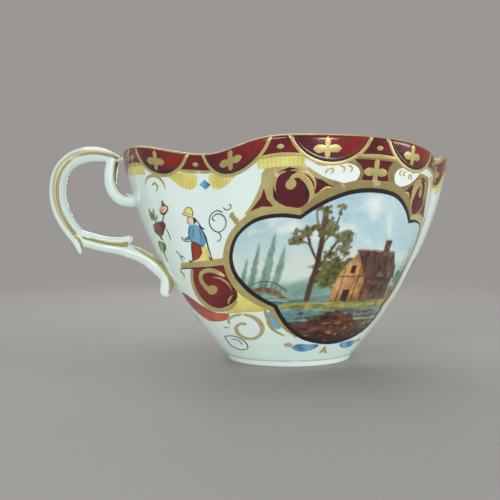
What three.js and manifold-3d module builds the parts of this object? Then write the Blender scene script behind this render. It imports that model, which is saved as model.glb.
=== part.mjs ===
// A porcelain tea cup of quatrefoil plan: a thin lobed bowl with a waving lip, a low foot ring
// and a rococo handle of four scrolls. All sizes are millimetres, +Z is up and the cup stands
// on z = 0. The handle leaves the middle of one lobe towards -X.
import * as THREE from "three";
import { mergeVertices } from "three/addons/utils/BufferGeometryUtils.js";
import Module from "manifold-3d";

const wasm = await Module();
wasm.setup();

// Bowl: the lip
const lobeCount = 4;
const rimLobeRadius = 42; // axis to the lip in the middle of a lobe
const rimValleyDepth = 4.8; // how far the lip draws in between two lobes
const rimHeight = 53; // table to the lip in the middle of a lobe
const rimDip = 3.3; // how far the lip drops in each valley
const rimDipSharpness = 2.9; // above 1 keeps the lobes flat and the dips narrow
const rimCrestTurn = 15; // degrees of an even lobe by which the wide lobes' crests lean to the handle
const valleyRounding = 1.3; // width over which two lobes run into each other
const lobeFade = 1.2; // power by which the lobes die away towards the foot
const farValleyTurn = 35; // degrees from the middle of the lobe opposite the handle to its valleys
const handleValleyTurn = 133.5; // degrees from that same middle to the valleys of the handle's lobe
const farLobeDrop = 1; // how much lower the lip runs over the lobe opposite the handle
const handleLobeDrop = 0.5; // the same over the handle's lobe
const lobeDropSharpness = 4; // above 1 keeps those drops close to their lobes

// Bowl: the wall, a curve from the foot to the lip pulled outwards by two points
const lowerPull = { radius: 25.5, height: 11.7 };
const upperPull = { radius: 39.1, height: 30.6 };
const lipThickness = 1.7;
const wallThickness = 2.5; // at the foot, thinning evenly to the lip
const floorThickness = 2.3;
const floorRounding = 2.4; // height of the round between the floor and the wall inside

// Foot ring and the shallow dish that it leaves under the bowl
const footRadius = 16.4;
const footHeight = 1.4;
const footWidth = 2.8; // of the ring, measured towards the axis
const footDraft = 0.6; // how much smaller the ring is at the table
const footEdge = 0.3; // bevel along the ring's edges
const recessDepth = 1.8; // of the dish above the ring's seat

// Handle, in the plane of its lobe: out is measured from the wall, up from the upper joint
const upperJointHeight = 40;
const lowerJointHeight = 21;
const loopReach = 18.4; // wall to the middle of the loop's bar, at its widest
const loopRise = 11.2; // upper joint to the middle of the bar, at its top
const loopDrop = 8.4; // upper joint down to where the loop meets the lower scroll
const spurLength = 4.3;
const barThickness = 3.9; // of the loop, in the handle's plane
const barWidth = 4.4; // of the loop, across the handle's plane
const neckThickness = 2.9; // of the scroll that meets the bowl under the lip
const tailThickness = 3.3; // of the scroll that comes down to the lower joint
const tailOverhang = 5; // how far the tail's round end hangs below the lower joint
const tongueThickness = 1.8; // of the tongue that lies along the lower scroll
const jointGap = 0.3; // clearance between the handle's ends and the bowl
const rootDepth = 2; // how far the neck is carried on into the wall before it is trimmed
const tailBite = 0.7; // how far the tail is sunk into the wall before it is trimmed
const sectionSoftness = 1.45; // 1 gives the bars a sharp diamond section, 2 an ellipse

// Facets
const aroundSteps = 80;
const wallSteps = 14;
const lipSteps = 4;
const floorSteps = 3;
const ringSteps = 64;
const sectionSides = 12;
const barSteps = 26;
const capSteps = 3;

const porcelain = { color: 0xeaf2ee, roughness: 0.14, metalness: 0 };

// Turns a direction into its place in a row of equally wide lobes. Two sine terms carry each valley
// from its own angle to its even place, so the pictured lobes are wider than the one between them.
const evenHalf = Math.PI / lobeCount;
const valleyTurns = [farValleyTurn, handleValleyTurn].map(THREE.MathUtils.degToRad);
const evenTurns = [evenHalf, Math.PI - evenHalf];
const [farPull, handlePull] = valleyTurns.map((turn) => [Math.sin(turn), Math.sin(2 * turn)]);
const [farShift, handleShift] = valleyTurns.map((turn, i) => evenTurns[i] - turn);
const pullSize = farPull[0] * handlePull[1] - farPull[1] * handlePull[0];
const singleShift = (farShift * handlePull[1] - farPull[1] * handleShift) / pullSize;
const doubleShift = (farPull[0] * handleShift - farShift * handlePull[0]) / pullSize;
function evenTurn(angle) {
  return angle + singleShift * Math.sin(angle) + doubleShift * Math.sin(2 * angle);
}

// Radius of the lobed plan in one direction, for a ring whose lobes reach lobeRadius and whose
// valleys lie depth further in. Each lobe is a circular arc, and neighbours blend smoothly.
function planRadius(angle, lobeRadius, depth, rounding) {
  if (depth < 1e-6) return lobeRadius;
  const half = evenHalf;
  const valley = lobeRadius - depth;
  const offset = (lobeRadius ** 2 - valley ** 2) / (2 * (lobeRadius - valley * Math.cos(half)));
  const arcRadius = lobeRadius - offset;
  const fromLobe = Math.abs(THREE.MathUtils.euclideanModulo(evenTurn(angle) + half, 2 * half) - half);
  const arc = (a) => offset * Math.cos(a) + Math.sqrt(arcRadius ** 2 - (offset * Math.sin(a)) ** 2);
  const near = arc(fromLobe);
  const far = arc(2 * half - fromLobe);
  return (near + far + Math.hypot(near - far, rounding)) / 2;
}

// How far the rim lies below its height in one direction: deepest in the valleys, and a little lower
// over the handle's lobe and the one opposite it. The crest over each wide lobe leans to the handle.
function rimFall(angle) {
  const even = evenTurn(angle);
  const lean = THREE.MathUtils.degToRad(rimCrestTurn) * Math.sin(angle) * Math.cos(2 * even) ** 2;
  const inValley = ((1 - Math.cos(lobeCount * (even - lean))) / 2) ** rimDipSharpness;
  const oppositeHandle = ((1 + Math.cos(angle)) / 2) ** lobeDropSharpness;
  const atHandle = ((1 - Math.cos(angle)) / 2) ** lobeDropSharpness;
  return rimDip * inValley + farLobeDrop * oppositeHandle + handleLobeDrop * atHandle;
}

// The wall's outer curve in the middle of a lobe, from the foot's seat to where the lip rounds over.
const wallCurve = new THREE.CubicBezierCurve(
  new THREE.Vector2(footRadius, footHeight),
  new THREE.Vector2(lowerPull.radius, lowerPull.height),
  new THREE.Vector2(upperPull.radius, upperPull.height),
  new THREE.Vector2(rimLobeRadius, rimHeight - lipThickness / 2),
);

// One ring of the bowl: the outer radius and height it belongs to, and how far inside it lies.
function ringAt(share, inset = 0, drop = 0) {
  const point = wallCurve.getPoint(share);
  return { radius: point.x, height: point.y - drop, share, inset };
}

function thicknessAt(share) {
  return THREE.MathUtils.lerp(wallThickness, lipThickness, share);
}

// The ring on the inner face at the same share of the wall, one thickness in along the normal.
function innerRingAt(share) {
  const tangent = wallCurve.getTangent(share);
  return ringAt(share, thicknessAt(share) * tangent.y, -thicknessAt(share) * tangent.x);
}

// Share of the wall at a height, found by halving.
function shareAtHeight(height, curveHeight = (share) => wallCurve.getPoint(share).y) {
  let low = 0;
  let high = 1;
  for (let i = 0; i < 40; i += 1) {
    const middle = (low + high) / 2;
    if (curveHeight(middle) < height) low = middle;
    else high = middle;
  }
  return (low + high) / 2;
}

function wallRadiusAt(height) {
  return wallCurve.getPoint(shareAtHeight(height)).x;
}

// Points of a ring all the way round, with its lobes and its part of the waving lip.
function ringPoints(ring, growth = 0) {
  const fade = ring.share ** lobeFade;
  const wave = (ring.height - footHeight) / (rimHeight - footHeight);
  return Array.from({ length: aroundSteps }, (_, i) => {
    const angle = (2 * Math.PI * i) / aroundSteps;
    const plan = planRadius(angle, ring.radius, rimValleyDepth * fade, valleyRounding * fade);
    const radius = plan - ring.inset + growth;
    const height = ring.height - Math.max(wave, 0) * rimFall(angle);
    return new THREE.Vector3(radius * Math.cos(angle), radius * Math.sin(angle), height);
  });
}

function circlePoints(radius, height) {
  return Array.from({ length: aroundSteps }, (_, i) => {
    const angle = (2 * Math.PI * i) / aroundSteps;
    return new THREE.Vector3(radius * Math.cos(angle), radius * Math.sin(angle), height);
  });
}

// Closed surface through a row of rings with the same count of points, with a pole at each end.
function loft(rings, firstPole, lastPole) {
  const points = [firstPole, ...rings.flat(), lastPole];
  const sides = rings[0].length;
  const last = points.length - 1;
  const index = [];
  const at = (ring, side) => 1 + ring * sides + (side % sides);
  for (let side = 0; side < sides; side += 1) {
    index.push(0, at(0, side + 1), at(0, side));
    index.push(last, at(rings.length - 1, side), at(rings.length - 1, side + 1));
    for (let ring = 0; ring < rings.length - 1; ring += 1) {
      index.push(at(ring, side), at(ring, side + 1), at(ring + 1, side + 1));
      index.push(at(ring, side), at(ring + 1, side + 1), at(ring + 1, side));
    }
  }
  return new THREE.BufferGeometry().setFromPoints(points).setIndex(index);
}

function toSolid(geometry) {
  const bare = geometry.clone();
  bare.deleteAttribute("normal");
  bare.deleteAttribute("uv");
  const merged = mergeVertices(bare, 1e-4);
  const vertProperties = merged.getAttribute("position").array;
  const triVerts = new Uint32Array(merged.index.array);
  return new wasm.Manifold(new wasm.Mesh({ numProp: 3, vertProperties, triVerts }));
}

function toGeometry(solid) {
  const { vertProperties, triVerts } = solid.getMesh();
  const geometry = new THREE.BufferGeometry();
  geometry.setAttribute("position", new THREE.BufferAttribute(vertProperties, 3));
  geometry.setIndex(new THREE.BufferAttribute(triVerts, 1));
  geometry.computeVertexNormals();
  return geometry;
}

function shares(count, from = 0, to = 1) {
  return Array.from({ length: count + 1 }, (_, i) => from + ((to - from) * i) / count);
}

const axisPoint = (height) => new THREE.Vector3(0, 0, height);
const recessRadius = footRadius - footWidth;
const recessTop = footHeight + recessDepth;
const floorHeight = recessTop + floorThickness;

// Bowl: dished underside, seat for the foot ring, outer wall, round lip, inner wall and floor.
function bowlGeometry() {
  const dish = shares(floorSteps).slice(1).map((s) => {
    const turn = (s * Math.PI) / 2;
    return circlePoints(recessRadius * Math.sin(turn), footHeight + recessDepth * Math.cos(turn));
  });
  const outer = shares(wallSteps).map((s) => ringPoints(ringAt(s)));
  const lip = shares(lipSteps).slice(1, -1).map((s) => {
    const turn = s * Math.PI;
    const half = lipThickness / 2;
    return ringPoints(ringAt(1, half * (1 - Math.cos(turn)), -half * Math.sin(turn)));
  });
  const innerHeight = (s) => innerRingAt(s).height;
  const floorShare = shareAtHeight(floorHeight + floorRounding, innerHeight);
  const inner = shares(wallSteps, 1, floorShare).map((s) => ringPoints(innerRingAt(s)));
  const lowest = innerRingAt(floorShare);
  const slope = wallCurve.getTangent(floorShare);
  const start = new THREE.Vector2(lowest.radius - lowest.inset, lowest.height);
  const corner = start.clone().addScaledVector(slope, (floorHeight - start.y) / slope.y);
  const end = new THREE.Vector2(corner.x - start.distanceTo(corner), floorHeight);
  const round = new THREE.QuadraticBezierCurve(start, corner, end);
  const floor = round.getPoints(floorSteps).slice(1).map(({ x, y }) => circlePoints(x, y));
  const rings = [...dish, ...outer, ...lip, ...inner, ...floor];
  return loft(rings, axisPoint(recessTop), axisPoint(floorHeight));
}

// The bowl's outside as a filled solid, grown by a clearance, for trimming what is joined to it.
function bowlEnvelope(clearance) {
  const outer = shares(wallSteps).map((s) => ringPoints(ringAt(s), clearance));
  return toSolid(loft(outer, axisPoint(footHeight), axisPoint(rimHeight)));
}

// Foot ring: a turned ring with bevelled edges, drawn in slightly towards the table.
function footRingGeometry() {
  const top = footHeight;
  const bottomOuter = footRadius - footDraft;
  const bottomInner = recessRadius + footDraft;
  const profile = [
    [bottomInner + footEdge, 0],
    [bottomOuter - footEdge, 0],
    [bottomOuter, footEdge],
    [footRadius, top - footEdge],
    [footRadius - footEdge, top],
    [recessRadius, top],
    [bottomInner, footEdge],
    [bottomInner + footEdge, 0],
  ].map(([radius, height]) => new THREE.Vector2(radius, height));
  return new THREE.LatheGeometry(profile, ringSteps).rotateX(Math.PI / 2);
}

// A scroll of the handle: a round-ended bar of soft diamond section along a smooth curve in the
// plane y = 0, whose half thickness and half width follow the share of its length.
function scrollSolid(path, halfThickness, halfWidth, steps = barSteps) {
  const points = path.map(([out, height]) => new THREE.Vector3(-out, 0, height));
  const curve = new THREE.CatmullRomCurve3(points, false, "centripetal");
  const soften = (x) => Math.sign(x) * Math.abs(x) ** (2 / sectionSoftness);
  const centreAt = (share, overrun) =>
    curve.getPointAt(share).addScaledVector(curve.getTangentAt(share), halfThickness(share) * overrun);
  const section = (share, capTurn = 0) => {
    const centre = centreAt(share, Math.sin(capTurn));
    const tangent = curve.getTangentAt(share);
    const normal = new THREE.Vector3(-tangent.z, 0, tangent.x);
    return Array.from({ length: sectionSides }, (_, i) => {
      const turn = (2 * Math.PI * i) / sectionSides;
      const across = halfWidth(share) * Math.cos(capTurn) * soften(Math.cos(turn));
      const through = halfThickness(share) * Math.cos(capTurn) * soften(Math.sin(turn));
      return centre.clone().addScaledVector(normal, through).add(new THREE.Vector3(0, across, 0));
    });
  };
  const capTurns = shares(capSteps, 0, Math.PI / 2).slice(1, -1);
  const rings = [
    ...capTurns.map((turn) => section(0, -turn)).reverse(),
    ...shares(steps).map((share) => section(share)),
    ...capTurns.map((turn) => section(1, turn)),
  ];
  return toSolid(loft(rings, centreAt(0, -1), centreAt(1, 1)));
}

// A taper that swells from one value to the next along the share of a scroll's length.
function taper(...values) {
  return (share) => {
    const place = share * (values.length - 1);
    const step = Math.min(Math.floor(place), values.length - 2);
    return THREE.MathUtils.lerp(values[step], values[step + 1], place - step);
  };
}

// Handle: the loop with its spur, the neck to the upper joint, the tail to the lower joint and
// the tongue that lies along the tail, made as one casting and trimmed to the bowl's wall.
function handleGeometry() {
  const upperWall = wallRadiusAt(upperJointHeight);
  const lowerWall = wallRadiusAt(lowerJointHeight);
  const half = barThickness / 2;
  const halfWide = barWidth / 2;
  const place = (outShare, upShare, span = loopRise) =>
    [upperWall + loopReach * outShare, upperJointHeight + span * upShare];
  const meeting = place(0.77, -1, loopDrop);
  const spurTip = [meeting[0] - spurLength / 4, meeting[1] - spurLength];

  const loop = scrollSolid(
    [place(0.22, 0.91), place(0.38, 0.985), place(0.6, 1), place(0.8, 0.89), place(0.95, 0.62),
      place(1, 0.24), place(0.97, -0.2, loopDrop), place(0.88, -0.64, loopDrop), meeting, spurTip],
    taper(half * 0.45, half * 0.9, half, half, half, half, half, half, half * 0.2),
    taper(halfWide * 0.6, halfWide, halfWide, halfWide, halfWide, halfWide * 0.9, halfWide * 0.3),
  );
  const neckHalf = neckThickness / 2;
  const neck = scrollSolid(
    [place(0.29, 0.9), place(0.32, 0.62), place(0.325, 0.38), place(0.27, 0.16), place(0.17, 0.03),
      [upperWall, upperJointHeight], [upperWall - rootDepth, upperJointHeight]],
    taper(half * 0.75, neckHalf * 1.1, neckHalf, neckHalf, neckHalf * 1.1),
    taper(halfWide * 0.75, halfWide * 0.9, halfWide * 0.95, halfWide * 1.1),
  );
  const tailHalf = tailThickness / 2;
  const landing = lowerWall + tailHalf - tailBite;
  const tailRun = meeting[0] - landing;
  const tailFall = meeting[1] - lowerJointHeight;
  const along = (run, fall) => [meeting[0] - tailRun * run, meeting[1] - tailFall * fall];
  const tail = scrollSolid(
    [meeting, along(0.13, 0.16), along(0.31, 0.26), along(0.49, 0.33), along(0.67, 0.45),
      along(0.8, 0.6), along(0.91, 0.8), [landing, lowerJointHeight],
      [landing, lowerJointHeight - tailOverhang + tailHalf]],
    taper(tailHalf, tailHalf * 0.8, tailHalf * 0.85, tailHalf, tailHalf, tailHalf, tailHalf),
    taper(halfWide * 0.9, halfWide * 0.95, halfWide * 0.95, halfWide, halfWide * 0.9),
  );
  const tongueHalf = tongueThickness / 2;
  const tongue = scrollSolid(
    [along(0.03, -0.09), along(0.17, 0.03), along(0.34, 0.115), along(0.5, 0.14), along(0.58, 0.11)],
    taper(tongueHalf * 0.6, tongueHalf, tongueHalf * 0.9, tongueHalf, tongueHalf * 1.1),
    taper(halfWide * 0.6, halfWide * 0.85, halfWide * 0.75, halfWide * 0.5),
    barSteps / 2,
  );
  const whole = loop.add(neck).add(tail).add(tongue);
  return toGeometry(whole.subtract(bowlEnvelope(jointGap)));
}

function piece(name, geometry) {
  const mesh = new THREE.Mesh(geometry, new THREE.MeshStandardMaterial(porcelain));
  mesh.name = name;
  return mesh;
}

const cup = new THREE.Group();
cup.add(piece("bowl", bowlGeometry()));
cup.add(piece("foot_ring", footRingGeometry()));
cup.add(piece("handle", handleGeometry()));

// The part's origin lies on the table under the middle of the whole outline, handle included.
const outline = new THREE.Box3().setFromObject(cup);
cup.position.x = -(outline.min.x + outline.max.x) / 2;

const part = new THREE.Group();
part.add(cup);

export default part;
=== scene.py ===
import math

import bmesh
import bpy
import numpy as np
from mathutils import Matrix, Vector, geometry


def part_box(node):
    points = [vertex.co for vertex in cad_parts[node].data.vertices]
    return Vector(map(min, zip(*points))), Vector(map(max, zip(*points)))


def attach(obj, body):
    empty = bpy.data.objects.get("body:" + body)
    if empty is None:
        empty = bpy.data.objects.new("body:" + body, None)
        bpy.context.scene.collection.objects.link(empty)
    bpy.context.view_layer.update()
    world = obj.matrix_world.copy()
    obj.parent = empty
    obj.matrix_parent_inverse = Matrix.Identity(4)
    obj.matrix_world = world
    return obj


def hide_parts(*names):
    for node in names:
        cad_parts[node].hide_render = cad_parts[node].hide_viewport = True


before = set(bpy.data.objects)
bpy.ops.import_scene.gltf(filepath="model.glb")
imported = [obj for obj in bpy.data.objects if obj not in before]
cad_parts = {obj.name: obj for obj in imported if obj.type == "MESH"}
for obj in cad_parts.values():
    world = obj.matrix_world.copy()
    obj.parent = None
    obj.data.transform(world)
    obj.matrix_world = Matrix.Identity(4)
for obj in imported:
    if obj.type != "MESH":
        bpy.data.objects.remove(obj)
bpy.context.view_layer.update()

# Bowl
# The cup's bowl is slip-cast porcelain, about 2 mm thick, pressed into four lobes by its mould. A clear
# glaze covers it inside and out, and the lip is rounded over and dips between the lobes.
mm = 0.001
bowl_low, bowl_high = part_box("bowl")
axis_x = (bowl_low.x + bowl_high.x) / 2 / mm
lip_height = 53.0
lip_radius = 42.0
lip_thickness = 1.7
foot_radius = 16.4
foot_height = 1.4
wall_at_foot = 2.5
dish_radius = 13.6
dish_depth = 1.8
floor_height = 5.5
floor_rounding = 2.4
lobe_count = 4
valley_depth = 4.8
valley_rounding = 1.3
lobe_fade = 1.2
lip_dip = 3.3
dip_sharpness = 2.9
crest_turn = 15.0
far_valley_turn = 35.0
handle_valley_turn = 133.5
far_lobe_drop = 1.0
handle_lobe_drop = 0.5
lobe_drop_sharpness = 4.0
steps_around = 360
dish_points = 9
wall_points = 97
lip_points = 13
inside_points = 73
bend_points = 11
floor_points = 9
pole_radius = 1e-6
chart_unit = 100
wall_pulls = np.array([[foot_radius, foot_height], [25.5, 11.7], [39.1, 30.6],
                       [lip_radius, lip_height - lip_thickness / 2]])


def wall_curve(share):
    """Radius and height of the wall outside, in the middle of a lobe, from the foot (0) to the lip (1)."""
    s = np.asarray(share, float)[..., None]
    rest = 1 - s
    first, second, third, last = wall_pulls
    return rest ** 3 * first + 3 * rest ** 2 * s * second + 3 * rest * s ** 2 * third + s ** 3 * last


def unit(rows):
    """Directions made one long."""
    return rows / np.linalg.norm(rows, axis=-1, keepdims=True)


def run_of(points):
    """The way gone along a row of points, at each of them."""
    return np.concatenate([[0], np.cumsum(np.linalg.norm(np.diff(points, axis=0), axis=1))])


def wall_slope(share):
    """Unit direction up the wall at a share of its curve."""
    s = np.asarray(share, float)[..., None]
    first, second, third = np.diff(wall_pulls, axis=0)
    return unit((1 - s) ** 2 * first + 2 * (1 - s) * s * second + s ** 2 * third)


def inner_curve(share):
    """The same place on the inside of the wall, one thickness in along the normal."""
    slope = wall_slope(share)
    thickness = wall_at_foot + (lip_thickness - wall_at_foot) * np.asarray(share, float)[..., None]
    return wall_curve(share) + thickness * np.stack([-slope[..., 1], slope[..., 0]], -1)


def make_piece(name, verts, faces):
    """A new object at the origin with a mesh of these points and faces."""
    mesh = bpy.data.meshes.new(name)
    mesh.from_pydata([tuple(v) for v in verts], [], [tuple(f) for f in faces])
    piece = bpy.data.objects.new(name, mesh)
    bpy.context.scene.collection.objects.link(piece)
    return piece


def turned(profile, steps, closed):
    """Points and faces of a (radius, height) profile turned round the axis; an end on it is a pole."""
    verts = []
    rows = []
    for radius, height in profile:
        pole = radius < pole_radius
        rows.append([len(verts) + (0 if pole else side) for side in range(steps)] + [len(verts)])
        for side in range(1 if pole else steps):
            turn = 2 * math.pi * side / steps
            verts.append((radius * math.cos(turn), radius * math.sin(turn), height))
    if closed:
        rows.append(rows[0])
    faces = []
    for row, above in zip(rows, rows[1:]):
        for side in range(steps):
            corners = (row[side], row[side + 1], above[side + 1], above[side])
            faces.append(tuple(dict.fromkeys(corners)))
    return verts, faces


class Field:
    """A number that a node tree works out: arithmetic on fields adds Math nodes to the tree."""

    def __init__(self, tree, socket):
        self.tree = tree
        self.socket = socket

    def math(self, operation, *values):
        node = self.tree.nodes.new("ShaderNodeMath")
        node.operation = operation
        for place, value in enumerate(values):
            if isinstance(value, Field):
                self.tree.links.new(value.socket, node.inputs[place])
            else:
                node.inputs[place].default_value = value
        return Field(self.tree, node.outputs[0])

    def __add__(self, other):
        return self.math("ADD", self, other)

    def __sub__(self, other):
        return self.math("SUBTRACT", self, other)

    def __rsub__(self, other):
        return self.math("SUBTRACT", other, self)

    def __mul__(self, other):
        return self.math("MULTIPLY", self, other)

    def __truediv__(self, other):
        return self.math("DIVIDE", self, other)

    def __rtruediv__(self, other):
        return self.math("DIVIDE", other, self)

    def __pow__(self, other):
        return self.math("POWER", self, other)

    def cos(self):
        return self.math("COSINE", self)

    def sin(self):
        return self.math("SINE", self)

    def root(self):
        return self.math("SQRT", self)

    def between(self, low, high):
        """0 below low, 1 above high and a soft step between; with low above high it falls instead."""
        node = self.tree.nodes.new("ShaderNodeMapRange")
        node.interpolation_type = "SMOOTHSTEP"
        self.tree.links.new(self.socket, node.inputs["Value"])
        node.inputs["From Min"].default_value = min(low, high)
        node.inputs["From Max"].default_value = max(low, high)
        node.inputs["To Min"].default_value = 0.0 if low < high else 1.0
        node.inputs["To Max"].default_value = 1.0 if low < high else 0.0
        return Field(self.tree, node.outputs["Result"])


class Shaping:
    """A Geometry Nodes tree in the making: a mesh and named sizes come in and a mesh goes out."""

    def __init__(self, name, **inputs):
        self.tree = bpy.data.node_groups.new(name, "GeometryNodeTree")
        self.tree.interface.new_socket("Mesh", in_out="INPUT", socket_type="NodeSocketGeometry")
        for label, kind in inputs.items():
            self.tree.interface.new_socket(label, in_out="INPUT", socket_type="NodeSocket" + kind)
        self.tree.interface.new_socket("Mesh", in_out="OUTPUT", socket_type="NodeSocketGeometry")
        self.given = self.tree.nodes.new("NodeGroupInput")

    def node(self, kind, inputs=None, **settings):
        """A node of this kind with its settings made and its inputs set or linked."""
        node = self.tree.nodes.new(kind)
        for setting, value in settings.items():
            setattr(node, setting, value)
        for label, value in (inputs or {}).items():
            if isinstance(value, Field):
                value = value.socket
            if isinstance(value, bpy.types.NodeSocket):
                self.tree.links.new(value, node.inputs[label])
            else:
                node.inputs[label].default_value = value
        return node

    def size(self, label):
        return Field(self.tree, self.given.outputs[label])

    def attribute(self, name):
        node = self.node("GeometryNodeInputNamedAttribute", {"Name": name}, data_type="FLOAT")
        return Field(self.tree, node.outputs["Attribute"])

    def xyz(self, vector):
        parts = self.node("ShaderNodeSeparateXYZ", {"Vector": vector})
        return [Field(self.tree, part) for part in parts.outputs]

    def end(self, mesh):
        """Ends the tree: instances become real mesh and get the material that is passed in."""
        real = self.node("GeometryNodeRealizeInstances", {"Geometry": mesh}).outputs[0]
        inputs = {"Geometry": real, "Material": self.given.outputs["Material"]}
        dressed = self.node("GeometryNodeSetMaterial", inputs).outputs[0]
        self.tree.links.new(dressed, self.tree.nodes.new("NodeGroupOutput").inputs[0])
        return self.tree


def shape(piece, tree, **sizes):
    """Runs a Geometry Nodes tree on a piece with these sizes and leaves the result as its plain mesh."""
    modifier = piece.modifiers.new(tree.name, "NODES")
    modifier.node_group = tree
    for socket in tree.interface.items_tree:
        if socket.in_out == "INPUT" and socket.name in sizes:
            modifier[socket.identifier] = sizes[socket.name]
    settle(piece)


def settle(piece):
    """Turns a piece's modifiers into its plain mesh."""
    graph = bpy.context.evaluated_depsgraph_get()
    made = bpy.data.meshes.new_from_object(piece.evaluated_get(graph), preserve_all_data_layers=True,
                                           depsgraph=graph)
    piece.modifiers.clear()
    piece.data = made
    piece.data.shade_smooth()


pressing = Shaping("press into lobes", Lobes="Float", Valley="Float", Rounding="Float", Fade="Float",
                   Dip="Float", Sharpness="Float", Crest="Float", Shift="Float", DoubleShift="Float",
                   FarDrop="Float", HandleDrop="Float", DropSharpness="Float", Material="Material")
across, along, up = pressing.xyz(pressing.node("GeometryNodeInputPosition").outputs[0])
turn = across.math("ARCTAN2", along, across)
even_turn = turn + pressing.size("Shift") * turn.sin() + pressing.size("DoubleShift") * (turn * 2).sin()
radius = (across * across + along * along).root()
lobe_reach = pressing.attribute("wall_radius")
fade = pressing.attribute("share") ** pressing.size("Fade")
half_lobe = math.pi / pressing.size("Lobes")
valley_reach = lobe_reach - pressing.size("Valley") * fade
arc_centre = ((lobe_reach * lobe_reach - valley_reach * valley_reach)
              / ((lobe_reach - valley_reach * half_lobe.cos()) * 2))
arc_radius = lobe_reach - arc_centre
from_valley = turn.math("FLOORED_MODULO", even_turn + half_lobe, half_lobe * 2)
from_lobe = turn.math("ABSOLUTE", from_valley - half_lobe)
near, far = [arc_centre * a.cos() + (arc_radius * arc_radius - (arc_centre * a.sin()) ** 2).root()
             for a in (from_lobe, half_lobe * 2 - from_lobe)]
blend = ((near - far) ** 2 + (pressing.size("Rounding") * fade) ** 2).root()
stretch = (radius + (near + far + blend) / 2 - lobe_reach) / radius
on_crest = (even_turn * 2).cos()
lip_turn = even_turn - pressing.size("Crest") * turn.sin() * on_crest * on_crest
dip_share = ((1 - (lip_turn * pressing.size("Lobes")).cos()) / 2) ** pressing.size("Sharpness")
far_share = ((turn.cos() + 1) / 2) ** pressing.size("DropSharpness")
handle_share = ((1 - turn.cos()) / 2) ** pressing.size("DropSharpness")
fall = pressing.size("Dip") * dip_share + pressing.size("FarDrop") * far_share
fall = fall + pressing.size("HandleDrop") * handle_share
lowered = up - fall * pressing.attribute("wave")
pressed = pressing.node("ShaderNodeCombineXYZ", {"X": across * stretch, "Y": along * stretch, "Z": lowered})
moved = pressing.node("GeometryNodeSetPosition",
                      {"Geometry": pressing.given.outputs["Mesh"], "Position": pressed.outputs[0]})
pressing_tree = pressing.end(moved.outputs[0])

# The profile runs from the dish under the foot up the outside, over the lip and down to the floor.
quarter = np.linspace(0, math.pi / 2, dish_points)
dish = np.column_stack([dish_radius * np.sin(quarter), foot_height + dish_depth * np.cos(quarter)])
outer_shares = np.linspace(0, 1, wall_points)
over = np.linspace(0, math.pi, lip_points)[1:-1]
lip = wall_curve(1.0) + lip_thickness / 2 * np.column_stack([np.cos(over) - 1, np.sin(over)])
floor_share = np.interp(floor_height + floor_rounding, inner_curve(outer_shares)[:, 1], outer_shares)
inner_shares = np.linspace(1, floor_share, inside_points)
round_start = inner_curve(floor_share)
round_slope = wall_slope(floor_share)
round_corner = round_start + round_slope * (floor_height - round_start[1]) / round_slope[1]
round_end = round_corner - [np.linalg.norm(round_start - round_corner), 0]
bend = np.linspace(0, 1, bend_points)[1:, None]
floor_round = (1 - bend) ** 2 * round_start + 2 * (1 - bend) * bend * round_corner + bend ** 2 * round_end
floor_reach = np.linspace(round_end[0], 0, floor_points)[1:]
floor = np.column_stack([floor_reach, np.full(len(floor_reach), floor_height)])
profile = np.vstack([dish, wall_curve(outer_shares), lip, inner_curve(inner_shares), floor_round, floor])
ring_share = np.concatenate([np.zeros(len(dish)), outer_shares, np.ones(len(lip)), inner_shares,
                             floor_share * (1 - bend[:, 0]), np.zeros(len(floor))])
ring_wave = np.clip((profile[:, 1] - foot_height) / (lip_height - foot_height), 0, None)
ring_wave *= np.clip(ring_share / floor_share, 0, 1)
ring_distance = run_of(profile)
ring_distance -= ring_distance[len(dish)]
wall_length = ring_distance[len(dish) + len(outer_shares) - 1]

verts, faces = turned(profile, steps_around, closed=False)
bowl = make_piece("bowl_body", np.array(verts) * mm, faces)
on_axis = profile[:, 0] < pole_radius
ring_of_vert = np.repeat(np.arange(len(profile)), np.where(on_axis, 1, steps_around))
per_vert = {"share": ring_share, "wave": ring_wave, "wall_radius": wall_curve(ring_share)[:, 0] * mm}
for label, ring_values in per_vert.items():
    bowl.data.attributes.new(label, "FLOAT", "POINT").data.foreach_set("value", ring_values[ring_of_vert])
# The chart, for laying colours on: turns round the axis by decimetres along the profile from the foot.
corner_vert = np.zeros(len(bowl.data.loops), int)
bowl.data.loops.foreach_get("vertex_index", corner_vert)
vert_turn = np.array([math.atan2(y, x) / (2 * math.pi) % 1 for x, y, _ in verts])
corner_turn = vert_turn[corner_vert]
for face in bowl.data.polygons:
    corners = slice(face.loop_start, face.loop_start + face.loop_total)
    middle = math.atan2(face.center.y, face.center.x) / (2 * math.pi) % 1
    corner_turn[corners] += np.round(middle - corner_turn[corners])
    at_pole = on_axis[ring_of_vert[corner_vert[corners]]]
    corner_turn[corners] = np.where(at_pole, middle, corner_turn[corners])
chart = np.column_stack([corner_turn, ring_distance[ring_of_vert][corner_vert] / chart_unit])
bowl.data.uv_layers.new(name="chart").data.foreach_set("uv", chart.ravel())


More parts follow.
